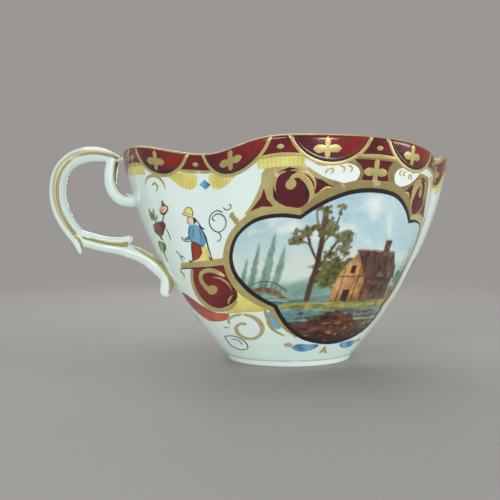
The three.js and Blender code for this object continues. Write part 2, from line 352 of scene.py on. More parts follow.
class Finish:
    """A material under construction round its own Principled BSDF."""

    def __init__(self, name, **sockets):
        self.material = bpy.data.materials.new(name)
        self.material.use_nodes = True
        self.tree = self.material.node_tree
        self.shader = self.tree.nodes["Principled BSDF"]
        for label, value in sockets.items():
            self.shader.inputs[label.replace("_", " ")].default_value = value

    def node(self, kind, inputs=None, **settings):
        return Shaping.node(self, kind, inputs, **settings)

    def place(self):
        """Object coordinates, in metres."""
        return self.node("ShaderNodeTexCoord").outputs["Object"]

    def group(self, group, **inputs):
        """A shader node group placed in this material; gives its outputs as fields by name."""
        node = self.node("ShaderNodeGroup", node_tree=group)
        for label, value in inputs.items():
            node.inputs[label].default_value = value
        return {socket.name: Field(self.tree, socket) for socket in node.outputs}

    def mix(self, share, one, other):
        """Colour one where share is 0 and the other where it is 1."""
        node = self.node("ShaderNodeMix", {0: share}, data_type="RGBA")
        for place, colour in ((6, one), (7, other)):
            if isinstance(colour, bpy.types.NodeSocket):
                self.tree.links.new(colour, node.inputs[place])
            else:
                node.inputs[place].default_value = (*colour, 1)
        return node.outputs[2]

    def dress(self, height=None, height_distance=0.00002, **sockets):
        """Links fields to the shader's sockets, and a height through a Bump node."""
        for label, value in sockets.items():
            socket = value.socket if isinstance(value, Field) else value
            self.tree.links.new(socket, self.shader.inputs[label.replace("_", " ")])
        if height is not None:
            bump = self.node("ShaderNodeBump", {"Height": height, "Distance": height_distance})
            self.tree.links.new(bump.outputs[0], self.shader.inputs["Normal"])
        return self.material


speck_cells = 260
speck_size = (0.07, 0.03)
speck_chance = (0.93, 0.96)


def fired_group():
    """What the kiln leaves in every glaze and enamel: a slow change of tone, ripples and specks."""
    tree = bpy.data.node_groups.new("fired surface", "ShaderNodeTree")
    for label in ("Tone size", "Ripple size"):
        tree.interface.new_socket(label, in_out="INPUT", socket_type="NodeSocketFloat")
    for label in ("Tone", "Ripple", "Specks"):
        tree.interface.new_socket(label, in_out="OUTPUT", socket_type="NodeSocketFloat")
    given = tree.nodes.new("NodeGroupInput")
    made = tree.nodes.new("NodeGroupOutput")
    where = tree.nodes.new("ShaderNodeTexCoord").outputs["Object"]
    for label, size, detail in (("Tone", "Tone size", 3.0), ("Ripple", "Ripple size", 1.5)):
        noise = tree.nodes.new("ShaderNodeTexNoise")
        noise.inputs["Detail"].default_value = detail
        tree.links.new(where, noise.inputs["Vector"])
        tree.links.new((1 / Field(tree, given.outputs[size])).socket, noise.inputs["Scale"])
        tree.links.new(noise.outputs["Fac"], made.inputs[label])
    cells = tree.nodes.new("ShaderNodeTexVoronoi")
    cells.inputs["Scale"].default_value = speck_cells
    tree.links.new(where, cells.inputs["Vector"])
    near_dot = Field(tree, cells.outputs["Distance"]).between(*speck_size)
    chosen = Field(tree, tree.nodes.new("ShaderNodeSeparateColor").outputs[0])
    tree.links.new(cells.outputs["Color"], chosen.socket.node.inputs[0])
    tree.links.new((near_dot * chosen.between(*speck_chance)).socket, made.inputs["Specks"])
    return tree


def srgb(red, green, blue):
    """A colour as a painter reads it from a screen, 0 to 255, as the linear colour that a shader needs."""
    return tuple((c / 255 / 12.92) if c < 10 else ((c / 255 + 0.055) / 1.055) ** 2.4
                 for c in (red, green, blue))


fired = fired_group()
glaze_whites = (srgb(224, 239, 234), srgb(214, 232, 226))
inside_white = srgb(236, 241, 238)
pooled_glaze = srgb(176, 194, 184)
dark_speck = srgb(120, 110, 98)
bare_clay = srgb(216, 210, 198)
pool_start = (0.0010, 0.0014)
pool_end = (0.0021, 0.0015)
wiped_edge = (0.00028, 0.00012)
inside_fade = 0.02
glazed = Finish("glazed porcelain", IOR=1.52, Coat_Weight=0.35, Coat_Roughness=0.04)
kiln = glazed.group(fired, **{"Tone size": 0.028, "Ripple size": 0.007})
height_up = glazed.node("ShaderNodeSeparateXYZ", {"Vector": glazed.place()}).outputs["Z"]
height_up = Field(glazed.tree, height_up)
pooled = height_up.between(*pool_start) * height_up.between(*pool_end)
bare_edge = height_up.between(*wiped_edge)
body_white = glazed.mix(kiln["Tone"].between(0.3, 0.7), *glaze_whites)
chart_place = glazed.node("ShaderNodeUVMap", uv_map="chart").outputs["UV"]
along_wall = Field(glazed.tree, glazed.node("ShaderNodeSeparateXYZ", {"Vector": chart_place}).outputs["Y"])
over_lip = (wall_length + math.pi * lip_thickness / 2) / chart_unit
body_white = glazed.mix(along_wall.between(over_lip, over_lip + inside_fade), body_white, inside_white)
body_white = glazed.mix(pooled * 0.6, body_white, pooled_glaze)
body_white = glazed.mix(kiln["Specks"] * 0.5, body_white, dark_speck)
body_white = glazed.mix(bare_edge, body_white, bare_clay)
porcelain = glazed.dress(Base_Color=body_white, Roughness=kiln["Tone"] * 0.08 + 0.06 + bare_edge * 0.5,
                         height=kiln["Ripple"], height_distance=0.00006)

# The far lobe is the narrowest: two shifts of the turn bring the valleys from an even spacing to their own.
valley_turns = np.radians([far_valley_turn, handle_valley_turn])
even_valleys = math.pi / lobe_count * np.array([1, lobe_count - 1])
valley_pulls = np.column_stack([np.sin(valley_turns), np.sin(2 * valley_turns)])
lobe_shift, double_shift = np.linalg.solve(valley_pulls, even_valleys - valley_turns)
shape(bowl, pressing_tree, Lobes=float(lobe_count), Valley=valley_depth * mm, Rounding=valley_rounding * mm,
      Fade=lobe_fade, Dip=lip_dip * mm, Sharpness=dip_sharpness, Crest=math.radians(crest_turn),
      Shift=float(lobe_shift), DoubleShift=float(double_shift), FarDrop=far_lobe_drop * mm,
      HandleDrop=handle_lobe_drop * mm, DropSharpness=lobe_drop_sharpness, Material=porcelain)
bowl.data.transform(Matrix.Translation((axis_x * mm, 0, 0)))
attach(bowl, "root")
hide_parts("bowl")

# Foot ring
# A low ring of the same porcelain, turned and luted under the bowl with slip. Its edge was wiped clean
# so that it wouldn't stick to the kiln shelf, and the glaze pools in the groove above it.
ring_draft = 0.6
ring_edge = 0.3
ring_lap = 0.06


def rounded(corners, reach, steps=6):
    """The closed outline through these corners with each one rounded over this reach."""
    corners = np.array(corners, float)
    points = []
    for before, corner, after in zip(np.roll(corners, 1, 0), corners, np.roll(corners, -1, 0)):
        start = corner + (before - corner) / np.linalg.norm(before - corner) * reach
        end = corner + (after - corner) / np.linalg.norm(after - corner) * reach
        for s in np.linspace(0, 1, steps):
            points.append((1 - s) ** 2 * start + 2 * (1 - s) * s * corner + s ** 2 * end)
    return np.array(points)


ring_top = foot_height + ring_lap
ring_outline = rounded([(dish_radius + ring_draft, 0), (foot_radius - ring_draft, 0),
                        (foot_radius, ring_top), (dish_radius, ring_top)], ring_edge)
verts, faces = turned(ring_outline, steps_around, closed=True)
foot_ring = make_piece("foot_ring_body", np.array(verts) * mm + [axis_x * mm, 0, 0], faces)
foot_ring.data.shade_smooth()
foot_ring.data.materials.append(porcelain)
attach(foot_ring, "root")
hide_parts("foot_ring")

# Handle
# Three scrolls and a tongue, cast as one piece of porcelain and stuck to the bowl with slip while both
# were still leather-hard. The loop ends in a spur and the tail lies down along the wall.
upper_joint = 40.0
lower_joint = 21.0
loop_reach = 18.4
loop_rise = 11.2
loop_drop = 8.4
spur_length = 4.3
bar_thick = 3.9
bar_wide = 4.4
neck_thick = 2.9
tail_thick = 3.3
tail_overhang = 5.0
tail_bite = 0.7
tongue_thick = 1.8
slip_flare = 1.12
root_gap = 0.7
section_softness = 1.45
section_sides = 32
cap_steps = 8
voxel = 0.2
sponge_strength = 0.5
sponge_passes = 8


def smooth_path(points, spacing, closed=False):
    """Evenly spaced points along a smooth curve through the given ones."""
    knots = np.array(points, float)
    ends = (knots[-1:], knots[:2]) if closed else (2 * knots[:1] - knots[1:2], 2 * knots[-1:] - knots[-2:-1])
    knots = np.vstack([ends[0], knots, ends[1]])
    pace = np.linalg.norm(np.diff(knots, axis=0), axis=1) ** 0.5
    s = np.linspace(0, 1, 20, endpoint=False)[:, None]
    stretches = []
    for i in range(1, len(knots) - 2):
        before, start, end, after = knots[i - 1:i + 3]
        p, q, r = pace[i - 1:i + 2]
        leave = q * ((start - before) / p - (end - before) / (p + q)) + end - start
        arrive = q * ((after - end) / r - (after - start) / (q + r)) + end - start
        stretches.append((2 * s ** 3 - 3 * s ** 2 + 1) * start + (s ** 3 - 2 * s ** 2 + s) * leave
                         + (3 * s ** 2 - 2 * s ** 3) * end + (s ** 3 - s ** 2) * arrive)
    curve = np.vstack(stretches + [knots[-2:-1]])
    length = run_of(curve)
    count = max(round(length[-1] / spacing), 4)
    even = np.linspace(0, length[-1], count + 1)[:count if closed else count + 1]
    return np.column_stack([np.interp(even, length, column) for column in curve.T])


def taper(values, count):
    """A row of values spread evenly over this many points."""
    return np.interp(np.linspace(0, 1, count), np.linspace(0, 1, len(values)), values)


def scroll(path, half_thick, half_wide):
    """Points and faces of a round-ended bar of soft diamond section along a curve in the handle's plane."""
    line = smooth_path([(axis_x - out, height) for out, height in path], voxel)
    slope = unit(np.gradient(line, axis=0))
    thick = taper(half_thick, len(line))
    wide = taper(half_wide, len(line))
    cap = np.linspace(0, math.pi / 2, cap_steps)[:-1]
    stations = [(0, -lean) for lean in cap[:0:-1]]
    stations += [(i, 0.0) for i in range(len(line))]
    stations += [(-1, lean) for lean in cap[1:]]
    turns = np.linspace(0, 2 * math.pi, section_sides, endpoint=False)
    soften = [np.sign(f) * np.abs(f) ** (2 / section_softness) for f in (np.cos(turns), np.sin(turns))]
    verts = []
    for i, lean in stations:
        centre = line[i] + slope[i] * thick[i] * math.sin(lean)
        out = thick[i] * math.cos(lean) * soften[1]
        verts += list(zip(centre[0] - slope[i][1] * out, wide[i] * math.cos(lean) * soften[0],
                          centre[1] + slope[i][0] * out))
    n = section_sides
    faces = [tuple(range(n)), tuple(range(len(verts) - 1, len(verts) - n - 1, -1))]
    for start in range(0, len(verts) - n, n):
        faces += [(start + k, start + n + k, start + n + (k + 1) % n, start + (k + 1) % n) for k in range(n)]
    return verts, faces


def wall_radius_at(height):
    """How far out the wall stands at a height."""
    radii, heights = wall_curve(outer_shares).T
    return float(np.interp(height, heights, radii))


def in_loop(out_share, up_share, span=loop_rise):
    """A place in the loop, by shares of its reach and of its rise or drop from the upper joint."""
    return (wall_radius_at(upper_joint) + loop_reach * out_share, upper_joint + span * up_share)


def in_tail(run, fall):
    """A place in the tail, by shares of the way from the loop's end to the landing on the wall."""
    return (meeting[0] - (meeting[0] - landing) * run, meeting[1] - (meeting[1] - lower_joint) * fall)


bar = bar_thick / 2
side = bar_wide / 2
neck = neck_thick / 2
tail = tail_thick / 2
tongue = tongue_thick / 2
meeting = in_loop(0.77, -1, loop_drop)
landing = wall_radius_at(lower_joint) + tail - tail_bite
spur_tip = (meeting[0] - spur_length / 4, meeting[1] - spur_length)
scrolls = [
    ([in_loop(0.22, 0.91), in_loop(0.38, 0.985), in_loop(0.6, 1), in_loop(0.8, 0.89), in_loop(0.95, 0.62),
      in_loop(1, 0.24), in_loop(0.97, -0.2, loop_drop), in_loop(0.88, -0.64, loop_drop), meeting, spur_tip],
     np.array([0.45, 0.9, 1, 1, 1, 1, 1, 1, 0.2]) * bar, np.array([0.6, 1, 1, 1, 1, 0.9, 0.3]) * side),
    ([in_loop(0.29, 0.9), in_loop(0.32, 0.62), in_loop(0.325, 0.38), in_loop(0.27, 0.16),
      in_loop(0.17, 0.03), (wall_radius_at(upper_joint) + root_gap, upper_joint)],
     np.array([bar * 0.75, neck * 1.1, neck, neck, neck * 1.05, neck * slip_flare]),
     np.array([0.75, 0.9, 0.92, 0.95, 1, slip_flare]) * side),
    ([meeting, in_tail(0.13, 0.16), in_tail(0.31, 0.26), in_tail(0.49, 0.33), in_tail(0.67, 0.45),
      in_tail(0.8, 0.6), in_tail(0.91, 0.8), (landing, lower_joint),
      (landing, lower_joint - tail_overhang + tail)],
     np.array([1, 0.8, 0.85, 1, 1, 1, 1]) * tail, np.array([0.9, 0.95, 0.95, 1, 0.9]) * side),
    ([in_tail(0.03, -0.09), in_tail(0.17, 0.03), in_tail(0.34, 0.115), in_tail(0.5, 0.14),
      in_tail(0.58, 0.11)],
     np.array([0.6, 1, 0.9, 1, 1.1]) * tongue, np.array([0.6, 0.85, 0.75, 0.5]) * side),
]
verts = []
faces = []
for path, half_thick, half_wide in scrolls:
    more_verts, more_faces = scroll(path, half_thick, half_wide)
    faces += [[len(verts) + corner for corner in face] for face in more_faces]
    verts += more_verts
handle = make_piece("handle_scrolls", verts, faces)
casting = handle.modifiers.new("cast as one", "REMESH")
casting.mode = "VOXEL"
casting.voxel_size = voxel
softening = handle.modifiers.new("sponge the joints", "SMOOTH")
softening.factor = sponge_strength
softening.iterations = sponge_passes
settle(handle)
handle.data.transform(Matrix.Scale(mm, 4))
handle.data.materials.append(porcelain)
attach(handle, "root")
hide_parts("handle")

# Gilt lip
# A band of liquid gold, brushed over the lip and fired last at a low heat, so that it lies on the glaze.
# It is a few hundredths of a millimetre thick and worn where hands and mouths have touched it.
sink = 0.03
gilt_relief = 0.09
edge_fall = 0.015
edge_reach = 0.3
stroke_fall = 0.03
lip_bare = 0.55
fill_gap = 0.45
weld_gap = 1e-4
finest_half = 0.03
sharp_fold = math.radians(60)


def far_from(edge, points):
    """Distance of each point from a closed outline, and whether it lies inside."""
    start = edge[None]
    reach = np.roll(edge, -1, 0)[None] - start
    offset = points[:, None] - start
    share = np.clip((offset * reach).sum(-1) / (reach ** 2).sum(-1), 0, 1)
    distance = np.linalg.norm(offset - share[..., None] * reach, axis=-1).min(1)
    low, high = start[..., 1], start[..., 1] + reach[..., 1]
    spans = (low > points[:, None, 1]) != (high > points[:, None, 1])
    rise = np.where(np.abs(reach[..., 1]) < 1e-9, 1e-9, reach[..., 1])
    meets = start[..., 0] + reach[..., 0] * (points[:, None, 1] - low) / rise
    return distance, (spans & (points[:, None, 0] < meets)).sum(1) % 2 == 1


class Flat:
    """A drawing before it is laid on the cup: millimetres across, up the wall and out of the glaze."""

    def __init__(self):
        self.verts = []
        self.faces = []
        self.wash = []

    def add(self, verts, faces, wash):
        self.faces += [[len(self.verts) + corner for corner in face] for face in faces]
        self.verts += [tuple(v) for v in verts]
        self.wash += list(np.broadcast_to(wash, len(verts)))

    def patch(self, outline, relief, wash=0.5, grain=0.8):
        """A pool of colour inside an outline, thinner at its edge; wash, 0 to 1, is how strong it lies."""
        edge = np.array(outline, float)
        rows = [np.arange(low, high, grain) for low, high in zip(edge.min(0), edge.max(0))]
        grid = np.stack(np.meshgrid(*rows), -1).reshape(-1, 2)
        distance, inside = far_from(edge, grid)
        points = np.vstack([edge, grid[inside & (distance > grain * fill_gap)]])
        ties = [(i, (i + 1) % len(edge)) for i in range(len(edge))]
        flat, _, triangles, *_ = geometry.delaunay_2d_cdt([Vector(p) for p in points], ties, [], 1, weld_gap)
        flat = np.array([tuple(v) for v in flat])
        corners = np.array(triangles)
        one, two, three = (flat[corners[:, k]] for k in range(3))
        area = (two - one)[:, 0] * (three - one)[:, 1] - (two - one)[:, 1] * (three - one)[:, 0]
        corners[area < 0] = corners[area < 0][:, ::-1]
        height = relief - edge_fall * np.clip(1 - far_from(edge, flat)[0] / edge_reach, 0, 1)
        sides = {(a, b) for t in corners for a, b in zip(t, np.roll(t, -1))}
        sides = sorted((a, b) for a, b in sides if (b, a) not in sides)
        n = len(flat)
        verts = np.vstack([np.column_stack([flat, height]), np.column_stack([flat, np.full(n, -sink)])])
        faces = [*corners, *(corners[:, ::-1] + n), *[(b, a, a + n, b + n) for a, b in sides]]
        strength = wash(flat[:, 0], flat[:, 1]) if callable(wash) else np.full(n, wash)
        self.add(verts, faces, np.concatenate([strength, strength]))

    def pool(self, points, relief, wash=0.5, grain=0.8, spacing=0.4):
        """A patch inside a smooth outline through these points."""
        self.patch(smooth_path(points, spacing, closed=True), relief, wash, grain)

    def stroke(self, path, widths, relief, wash=0.5, spacing=0.4, across_steps=5, rounds=True):
        """A domed brush stroke along a smooth curve, wide by a row of widths, its ends round or open."""
        line = smooth_path(path, spacing)
        count = len(line)
        ahead = unit(np.gradient(line, axis=0))
        half = taper(widths, count) / 2
        if rounds:
            gone = run_of(line)
            near_end = np.clip(np.minimum(gone, gone[-1] - gone) / np.maximum(half, 1e-6), 0, 1)
            half = np.maximum(half * np.sqrt(1 - (1 - near_end) ** 2), finest_half)
        spread = np.linspace(-1, 1, across_steps)
        dome = relief - stroke_fall * spread ** 4
        spread = np.concatenate([spread, [1, -1]])
        dome = np.concatenate([dome, [-sink, -sink]])
        n = len(spread)
        sideways = np.column_stack([ahead[:, 1], -ahead[:, 0]])
        flat = line[:, None] + sideways[:, None] * half[:, None, None] * spread[None, :, None]
        height = np.broadcast_to(dome[None, :, None], (count, n, 1))
        verts = np.concatenate([flat, height], -1).reshape(-1, 3)
        faces = []
        for here in range(0, (count - 1) * n, n):
            faces += [(here + k, here + (k + 1) % n, here + n + (k + 1) % n, here + n + k) for k in range(n)]
        if rounds:
            faces += [tuple(range(n))[::-1], tuple(range((count - 1) * n, count * n))]
        self.add(verts, faces, wash)

    def piece(self, name, places):
        """The drawing as a mesh, once for each place: an angle, and -1 where it is turned over."""
        verts = []
        faces = []
        for _, sense in places:
            faces += [[len(verts) + c for c in (face if sense > 0 else face[::-1])] for face in self.faces]
            verts += [(sense * x, y, z) for x, y, z in self.verts]
        made = make_piece(name, verts, faces)
        angles = np.repeat([angle for angle, _ in places], len(self.verts))
        for label, values in (("centre", angles), ("wash", np.tile(self.wash, len(places)))):
            made.data.attributes.new(label, "FLOAT", "POINT").data.foreach_set("value", values.astype(float))
        return made


laying = Shaping("lay on the bowl", Bowl="Object", Copies="Int", Material="Material")
copies = laying.size("Copies")
copy_points = laying.node("GeometryNodeMeshLine", {"Count": copies, "Offset": (0, 0, 0)})
copy_index = Field(laying.tree, laying.node("GeometryNodeInputIndex").outputs[0])
copy_turn = laying.node("GeometryNodeStoreNamedAttribute",
                        {"Geometry": copy_points.outputs[0], "Name": "turn", "Value": copy_index / copies})
placed = laying.node("GeometryNodeInstanceOnPoints",
                     {"Points": copy_turn.outputs[0], "Instance": laying.given.outputs["Mesh"]})
loose = laying.node("GeometryNodeRealizeInstances", {"Geometry": placed.outputs[0]})
across, along, out = laying.xyz(laying.node("GeometryNodeInputPosition").outputs[0])
ground = laying.node("GeometryNodeObjectInfo", {"Object": laying.given.outputs["Bowl"]},
                     transform_space="RELATIVE").outputs["Geometry"]
chart_map = laying.node("GeometryNodeInputNamedAttribute", {"Name": "chart"},
                        data_type="FLOAT_VECTOR").outputs[0]


def on_bowl(value, turns, kind):
    """A value of the bowl's surface at a place of its chart."""
    where = laying.node("ShaderNodeCombineXYZ", {"X": turns, "Y": along / chart_unit}).outputs[0]
    inputs = {"Mesh": ground, "Value": value, "UV Map": chart_map, "Sample UV": where}
    return laying.node("GeometryNodeSampleUVSurface", inputs, data_type=kind).outputs[0]


reach = Field(laying.tree, on_bowl(laying.attribute("wall_radius"), 0.5, "FLOAT"))
turns = across * mm / (reach * 2 * math.pi) + laying.attribute("centre") / 360 + laying.attribute("turn")
turns = turns.math("FRACT", turns)
skin = on_bowl(laying.node("GeometryNodeInputPosition").outputs[0], turns, "FLOAT_VECTOR")
facing = on_bowl(laying.node("GeometryNodeInputNormal").outputs[0], turns, "FLOAT_VECTOR")
lifted = laying.node("ShaderNodeVectorMath", {0: facing, "Scale": out * mm}, operation="SCALE")
laid_place = laying.node("ShaderNodeVectorMath", {0: skin, 1: lifted.outputs[0]}, operation="ADD")
laid = laying.node("GeometryNodeSetPosition",
                   {"Geometry": loose.outputs[0], "Position": laid_place.outputs[0]})
laying_tree = laying.end(laid.outputs[0])


def lay(name, drawing, finish, slot, places, copies=1):
    """Lays a drawing on the bowl as one fired piece."""
    piece = drawing.piece(name, places) if isinstance(drawing, Flat) else drawing
    shape(piece, laying_tree, Bowl=bowl, Copies=copies, Material=finish)
    piece.data.set_sharp_from_angle(angle=sharp_fold)
    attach(piece, "root")
    return piece


gold_tones = (srgb(208, 194, 130), srgb(190, 174, 110))
rubbed_brown = srgb(138, 120, 72)
thin_gold = srgb(226, 222, 196)
worn_gold = srgb(222, 212, 178)
gold = Finish("worn gilding", IOR=1.6)
kiln = gold.group(fired, **{"Tone size": 0.0035, "Ripple size": 0.0009})
worn = kiln["Tone"].between(0.60, 0.72)
gold_wash = Field(gold.tree, gold.node("ShaderNodeAttribute", attribute_name="wash").outputs["Fac"])
rubbed = gold_wash.between(0.5, 1.0)
gold_tone = gold.mix(kiln["Tone"].between(0.3, 0.7), *gold_tones)
gold_tone = gold.mix(rubbed, gold_tone, rubbed_brown)
gold_tone = gold.mix(gold_wash.between(0.5, 0.0), gold_tone, thin_gold)
gold_tone = gold.mix(worn * 0.6, gold_tone, worn_gold)
gilding = gold.dress(Base_Color=gold_tone, Metallic=(0.5 - worn * 0.4) * (1 - rubbed * 0.6),
                     Roughness=kiln["Ripple"] * 0.2 + 0.26, height=kiln["Ripple"], height_distance=0.00003)

lip_gilt = Flat()
lip_steps = 15
lip_half_turn = math.pi * lip_radius
lip_over = math.pi * lip_thickness / 2
lip_middle = wall_length + (lip_bare + lip_over) / 2
lip_gilt.stroke([(-lip_half_turn, lip_middle), (0, lip_middle), (lip_half_turn, lip_middle)],
                [lip_over - lip_bare], gilt_relief, spacing=0.7, across_steps=lip_steps, rounds=False)
lip_band = lay("gilt_lip", lip_gilt, gilding, "gilding", [(180, 1)])
band_mesh = bmesh.new()
band_mesh.from_mesh(lip_band.data)
band_points = list(band_mesh.verts)
seam = list(zip(band_points[:lip_steps + 2], band_points[-lip_steps - 2:]))
for start, end in seam:
    start.co = (start.co + end.co) / 2
bmesh.ops.weld_verts(band_mesh, targetmap={end: start for start, end in seam})
band_mesh.to_mesh(lip_band.data)
band_mesh.free()

# Rim border
# Twelve half-moons of iron-red enamel hang from the lip, each with a gilt cross, and a red panel with a
# gilt bead fills each space between them. Enamel and gold were painted over the glaze and fired again.
border_count = 12
first_moon = -92.5
moon_half = 8.2
moon_depth = 5.05
moon_radius = (moon_half ** 2 + moon_depth ** 2) / (2 * moon_depth)
moon_centre = (0, wall_length - moon_depth + moon_radius)
moon_line = 0.75
panel_depth = 3.4
border_grain = 0.3
border_pitch = 2 * math.pi * lip_radius / border_count
red_relief = 0.06
dark_relief = 0.09
cross_drop = 2.25
cross_wear_and_shade = 0.66
raised_gilt = gilt_relief + 0.03
top_gilt = gilt_relief + 0.04
cross_shift = -0.9
border_gap = 0.1
shade_inset = 0.45
shade_start = 188
shade_end = 318
bead_drop = 1.7
bead_half = 0.85
pale_speck = srgb(235, 225, 205)


def enamel(name, thin, thick, roughness=0.10):
    """An enamel colour fired on the glaze: pale where it lies thin, deep where it lies thick, never even."""
    paint = Finish(name, IOR=1.5, Coat_Weight=0.3, Coat_Roughness=0.05)
    kiln = paint.group(fired, **{"Tone size": 0.004, "Ripple size": 0.0015})
    wash = Field(paint.tree, paint.node("ShaderNodeAttribute", attribute_name="wash").outputs["Fac"])
    thickness = wash + (kiln["Tone"] - 0.5) * 1.1
    colour = paint.mix(thickness.between(0.0, 1.0), srgb(*thin), srgb(*thick))
    colour = paint.mix(kiln["Specks"] * 0.4, colour, pale_speck)
    return paint.dress(Base_Color=colour, Roughness=kiln["Tone"] * 0.14 + roughness, height=kiln["Ripple"],
                       height_distance=0.00004)


def arc(centre, radius, start, end, spacing=0.5):
    """Points along a circle from one angle to another, in degrees."""
    count = max(round(abs(math.radians(end - start)) * radius / spacing), 3)
    turns = np.radians(np.linspace(start, end, count))
    return np.column_stack([centre[0] + radius * np.cos(turns), centre[1] + radius * np.sin(turns)])


def straight(points, spacing=0.5):
    """Points along straight lines from one corner to the next, without the last corner."""
    corners = np.array(points, float)
    runs = [np.linspace(a, b, max(round(np.linalg.norm(b - a) / spacing), 1), endpoint=False)
            for a, b in zip(corners, corners[1:])]
    return np.vstack(runs)


def moon_angle(height, radius):
    """Angle below the horizon at which a moon's circle crosses a height on the wall."""
    return math.degrees(math.asin((moon_centre[1] - height) / radius))


iron_red = enamel("iron red enamel", (128, 34, 29), (80, 16, 28))
pen_black = enamel("pen black enamel", (62, 52, 58), (28, 24, 30), roughness=0.2)
border_red = Flat()
border_gilt = Flat()
border_dark = Flat()
lip_edge = wall_length + lip_bare + border_gap
dip = moon_angle(lip_edge, moon_radius)
moon = arc(moon_centre, moon_radius, 180 + dip, 360 - dip)
border_red.patch(np.vstack([moon[:-1], straight([moon[-1], moon[0]])]), red_relief,
                 wash=lambda x, y: 0.55 - x * 0.06 - (y - wall_length + 2.5) * 0.07, grain=border_grain)
moon_edge = arc(moon_centre, moon_radius + moon_line / 2, 180 + dip, 360 - dip, 2)
border_gilt.stroke(moon_edge, [moon_line], gilt_relief)
moon_shade = arc(moon_centre, moon_radius - shade_inset, shade_start + dip, shade_end, 2)
border_dark.stroke(moon_shade, [0.1, 0.65, 0.8, 0.65, 0.1], dark_relief)
cross = np.array([cross_shift, wall_length - cross_drop])
# The crosses are in browner, rubbed gold: partly wear, partly painted shade that takes down the soft boxes'
# reflection in them.
border_gilt.stroke([cross - [3.1, 0.1], cross, cross + [3.0, 0.1]], [0.6, 1.8, 1.6, 1.1, 1.5, 1.7, 0.7],
                   raised_gilt, cross_wear_and_shade)
border_gilt.stroke([cross - [0, 2.1], cross, cross + [0, 2.5]], [1.0, 1.2, 1.2, 1.2, 1.5],
                   top_gilt, cross_wear_and_shade)
panel_low = wall_length - panel_depth
side_radius = moon_radius + moon_line
left_ends = [-moon_angle(height, side_radius) for height in (panel_low, lip_edge)]
left_side = arc(moon_centre, side_radius, *left_ends)
right_side = (left_side * [-1, 1] + [border_pitch, 0])[::-1]
border_red.patch(np.vstack([straight([right_side[-1], left_side[0]]), left_side[:-1],
                            straight([left_side[-1], right_side[0]]), right_side[:-1]]), red_relief,
                 wash=lambda x, y: 0.85 - 0.02 * x, grain=border_grain)
panel_foot = [left_side[0] - [0.4, 0.1], (left_side[0] + right_side[-1]) / 2, right_side[-1] + [0.4, -0.1]]
border_gilt.stroke(panel_foot, [0.6, 0.85, 0.6], gilt_relief)
bead = np.array([border_pitch / 2, wall_length - bead_drop])
border_dark.stroke([bead - [0.7, 0.1], bead + [0.3, -0.15], bead + [1.1, -0.1]], [1.3], dark_relief)
border_gilt.stroke([bead - [bead_half, 0], bead, bead + [bead_half, 0.05]], [0.7, 1.05, 0.7], raised_gilt)
lay("border_red", border_red, iron_red, "red_enamel", [(first_moon, 1)], copies=border_count)
lay("border_shading", border_dark, pen_black, "dark_enamel", [(first_moon, 1)], copies=border_count)
lay("border_gilding", border_gilt, gilding, "gilding", [(first_moon, 1)], copies=border_count)

# Garlands
# Under the border hang ribbed bands of yellow enamel, one below each red panel on the lobes, and two yellow
# swags in each valley, with a blue lozenge between them beside the handle. All are fired on the glaze.
band_angles = [-167.5, -107.5, -17.5, 12.5, 102.5, 162.5]
band_half = 4.9
band_flare = 0.6
band_gap = 0.2
band_depth = 2.3
band_top = panel_low - band_gap
band_low = band_top - band_depth
rib_pitch = 0.95
rib_grain = 0.3
handle_garland = 135
valley_places = [(sense * turn, -sense) for turn in (handle_garland, far_valley_turn) for sense in (-1, 1)]
yellow_relief = 0.045
straw = enamel("straw yellow enamel", (224, 218, 132), (186, 172, 78))
sky_blue = enamel("sky blue enamel", (112, 170, 196), (32, 96, 150))


def ribs(x, y):
    """Strength of the colour across the upright ribs."""
    return 0.4 + 0.18 * np.cos(2 * math.pi * x / rib_pitch)


bands = Flat()
band_wide = band_half + band_flare
band_corners = [(-band_half, band_low), (band_half, band_low), (band_wide, band_top), (-band_wide, band_top)]
bands.patch(straight(band_corners + band_corners[:1], 0.4), yellow_relief, wash=ribs, grain=rib_grain)
lay("yellow_bands", bands, straw, "yellow_enamel", [(angle, 1) for angle in band_angles])
swags = Flat()
lozenges = Flat()
swag = [(1.7, 53.2), (4.0, 53.8), (7.2, 53.4), (10.0, 52.5), (7.8, 51.0), (5.7, 50.0), (3.5, 49.9),
        (2.0, 51.0)]
for sense in (1, -1):
    swags.pool([(sense * x, y) for x, y in swag], yellow_relief, wash=ribs, grain=rib_grain)
lozenge = [(-1.2, 51.2), (0.4, 50.0), (2.0, 51.1), (0.4, 52.4), (-1.2, 51.2)]
lozenges.patch(straight(lozenge, 0.4), yellow_relief, wash=lambda x, y: 0.5 + 0.3 * x)
lay("yellow_swags", swags, straw, "yellow_enamel", valley_places)
lay("blue_lozenges", lozenges, sky_blue, "blue_enamel", valley_places[:2])

# Picture
# Each long side carries a river landscape in a frame of four curves, painted in enamels with a fine brush,
# edged with a black line and set in a gilt moulding painted flat on the glaze.
front_and_back = [(-76, 1), (74, -1)]
picture_middle = np.array([0, 24.0])
picture_relief = 0.05
edge_share = 0.4
frame_relief = 0.08
frame_line_relief = dark_relief + 0.02
picture_rings = 112
picture_step = 0.27
cusp_lap = 0.12
under_rings = 14
left_curve = [(-16.6, 40.6), (-21.0, 41.1), (-27.4, 40.4), (-30.9, 37.7), (-31.6, 33.4), (-29.9, 28.9),
              (-25.7, 24.3), (-20.9, 20.5), (-17.0, 18.2)]
bottom_left = [(-17.0, 18.2), (-15.0, 15.3), (-12.0, 11.8), (-7.3, 8.2), (0, 6.3)]
top_left = [(-1.5, 46.8), (-7.4, 46.0), (-13.2, 43.3), (-16.6, 40.6)]
far_pull = 8.0
frame_pull = 3.5


def flip(points, sense=-1, more=0.0):
    """Points of the near half as they are, or turned over for the far half, where the lobe is narrower."""
    x, y = np.array(points, float).T
    pull = far_pull * np.interp(y, [13, 28], [0, 1]) + more * np.interp(y, [10, 22, 35, 41], [0, 1, 1, 0])
    return list(zip(x, y)) if sense > 0 else list(zip(-x - pull * np.clip(-x / 31, 0, 1), y))


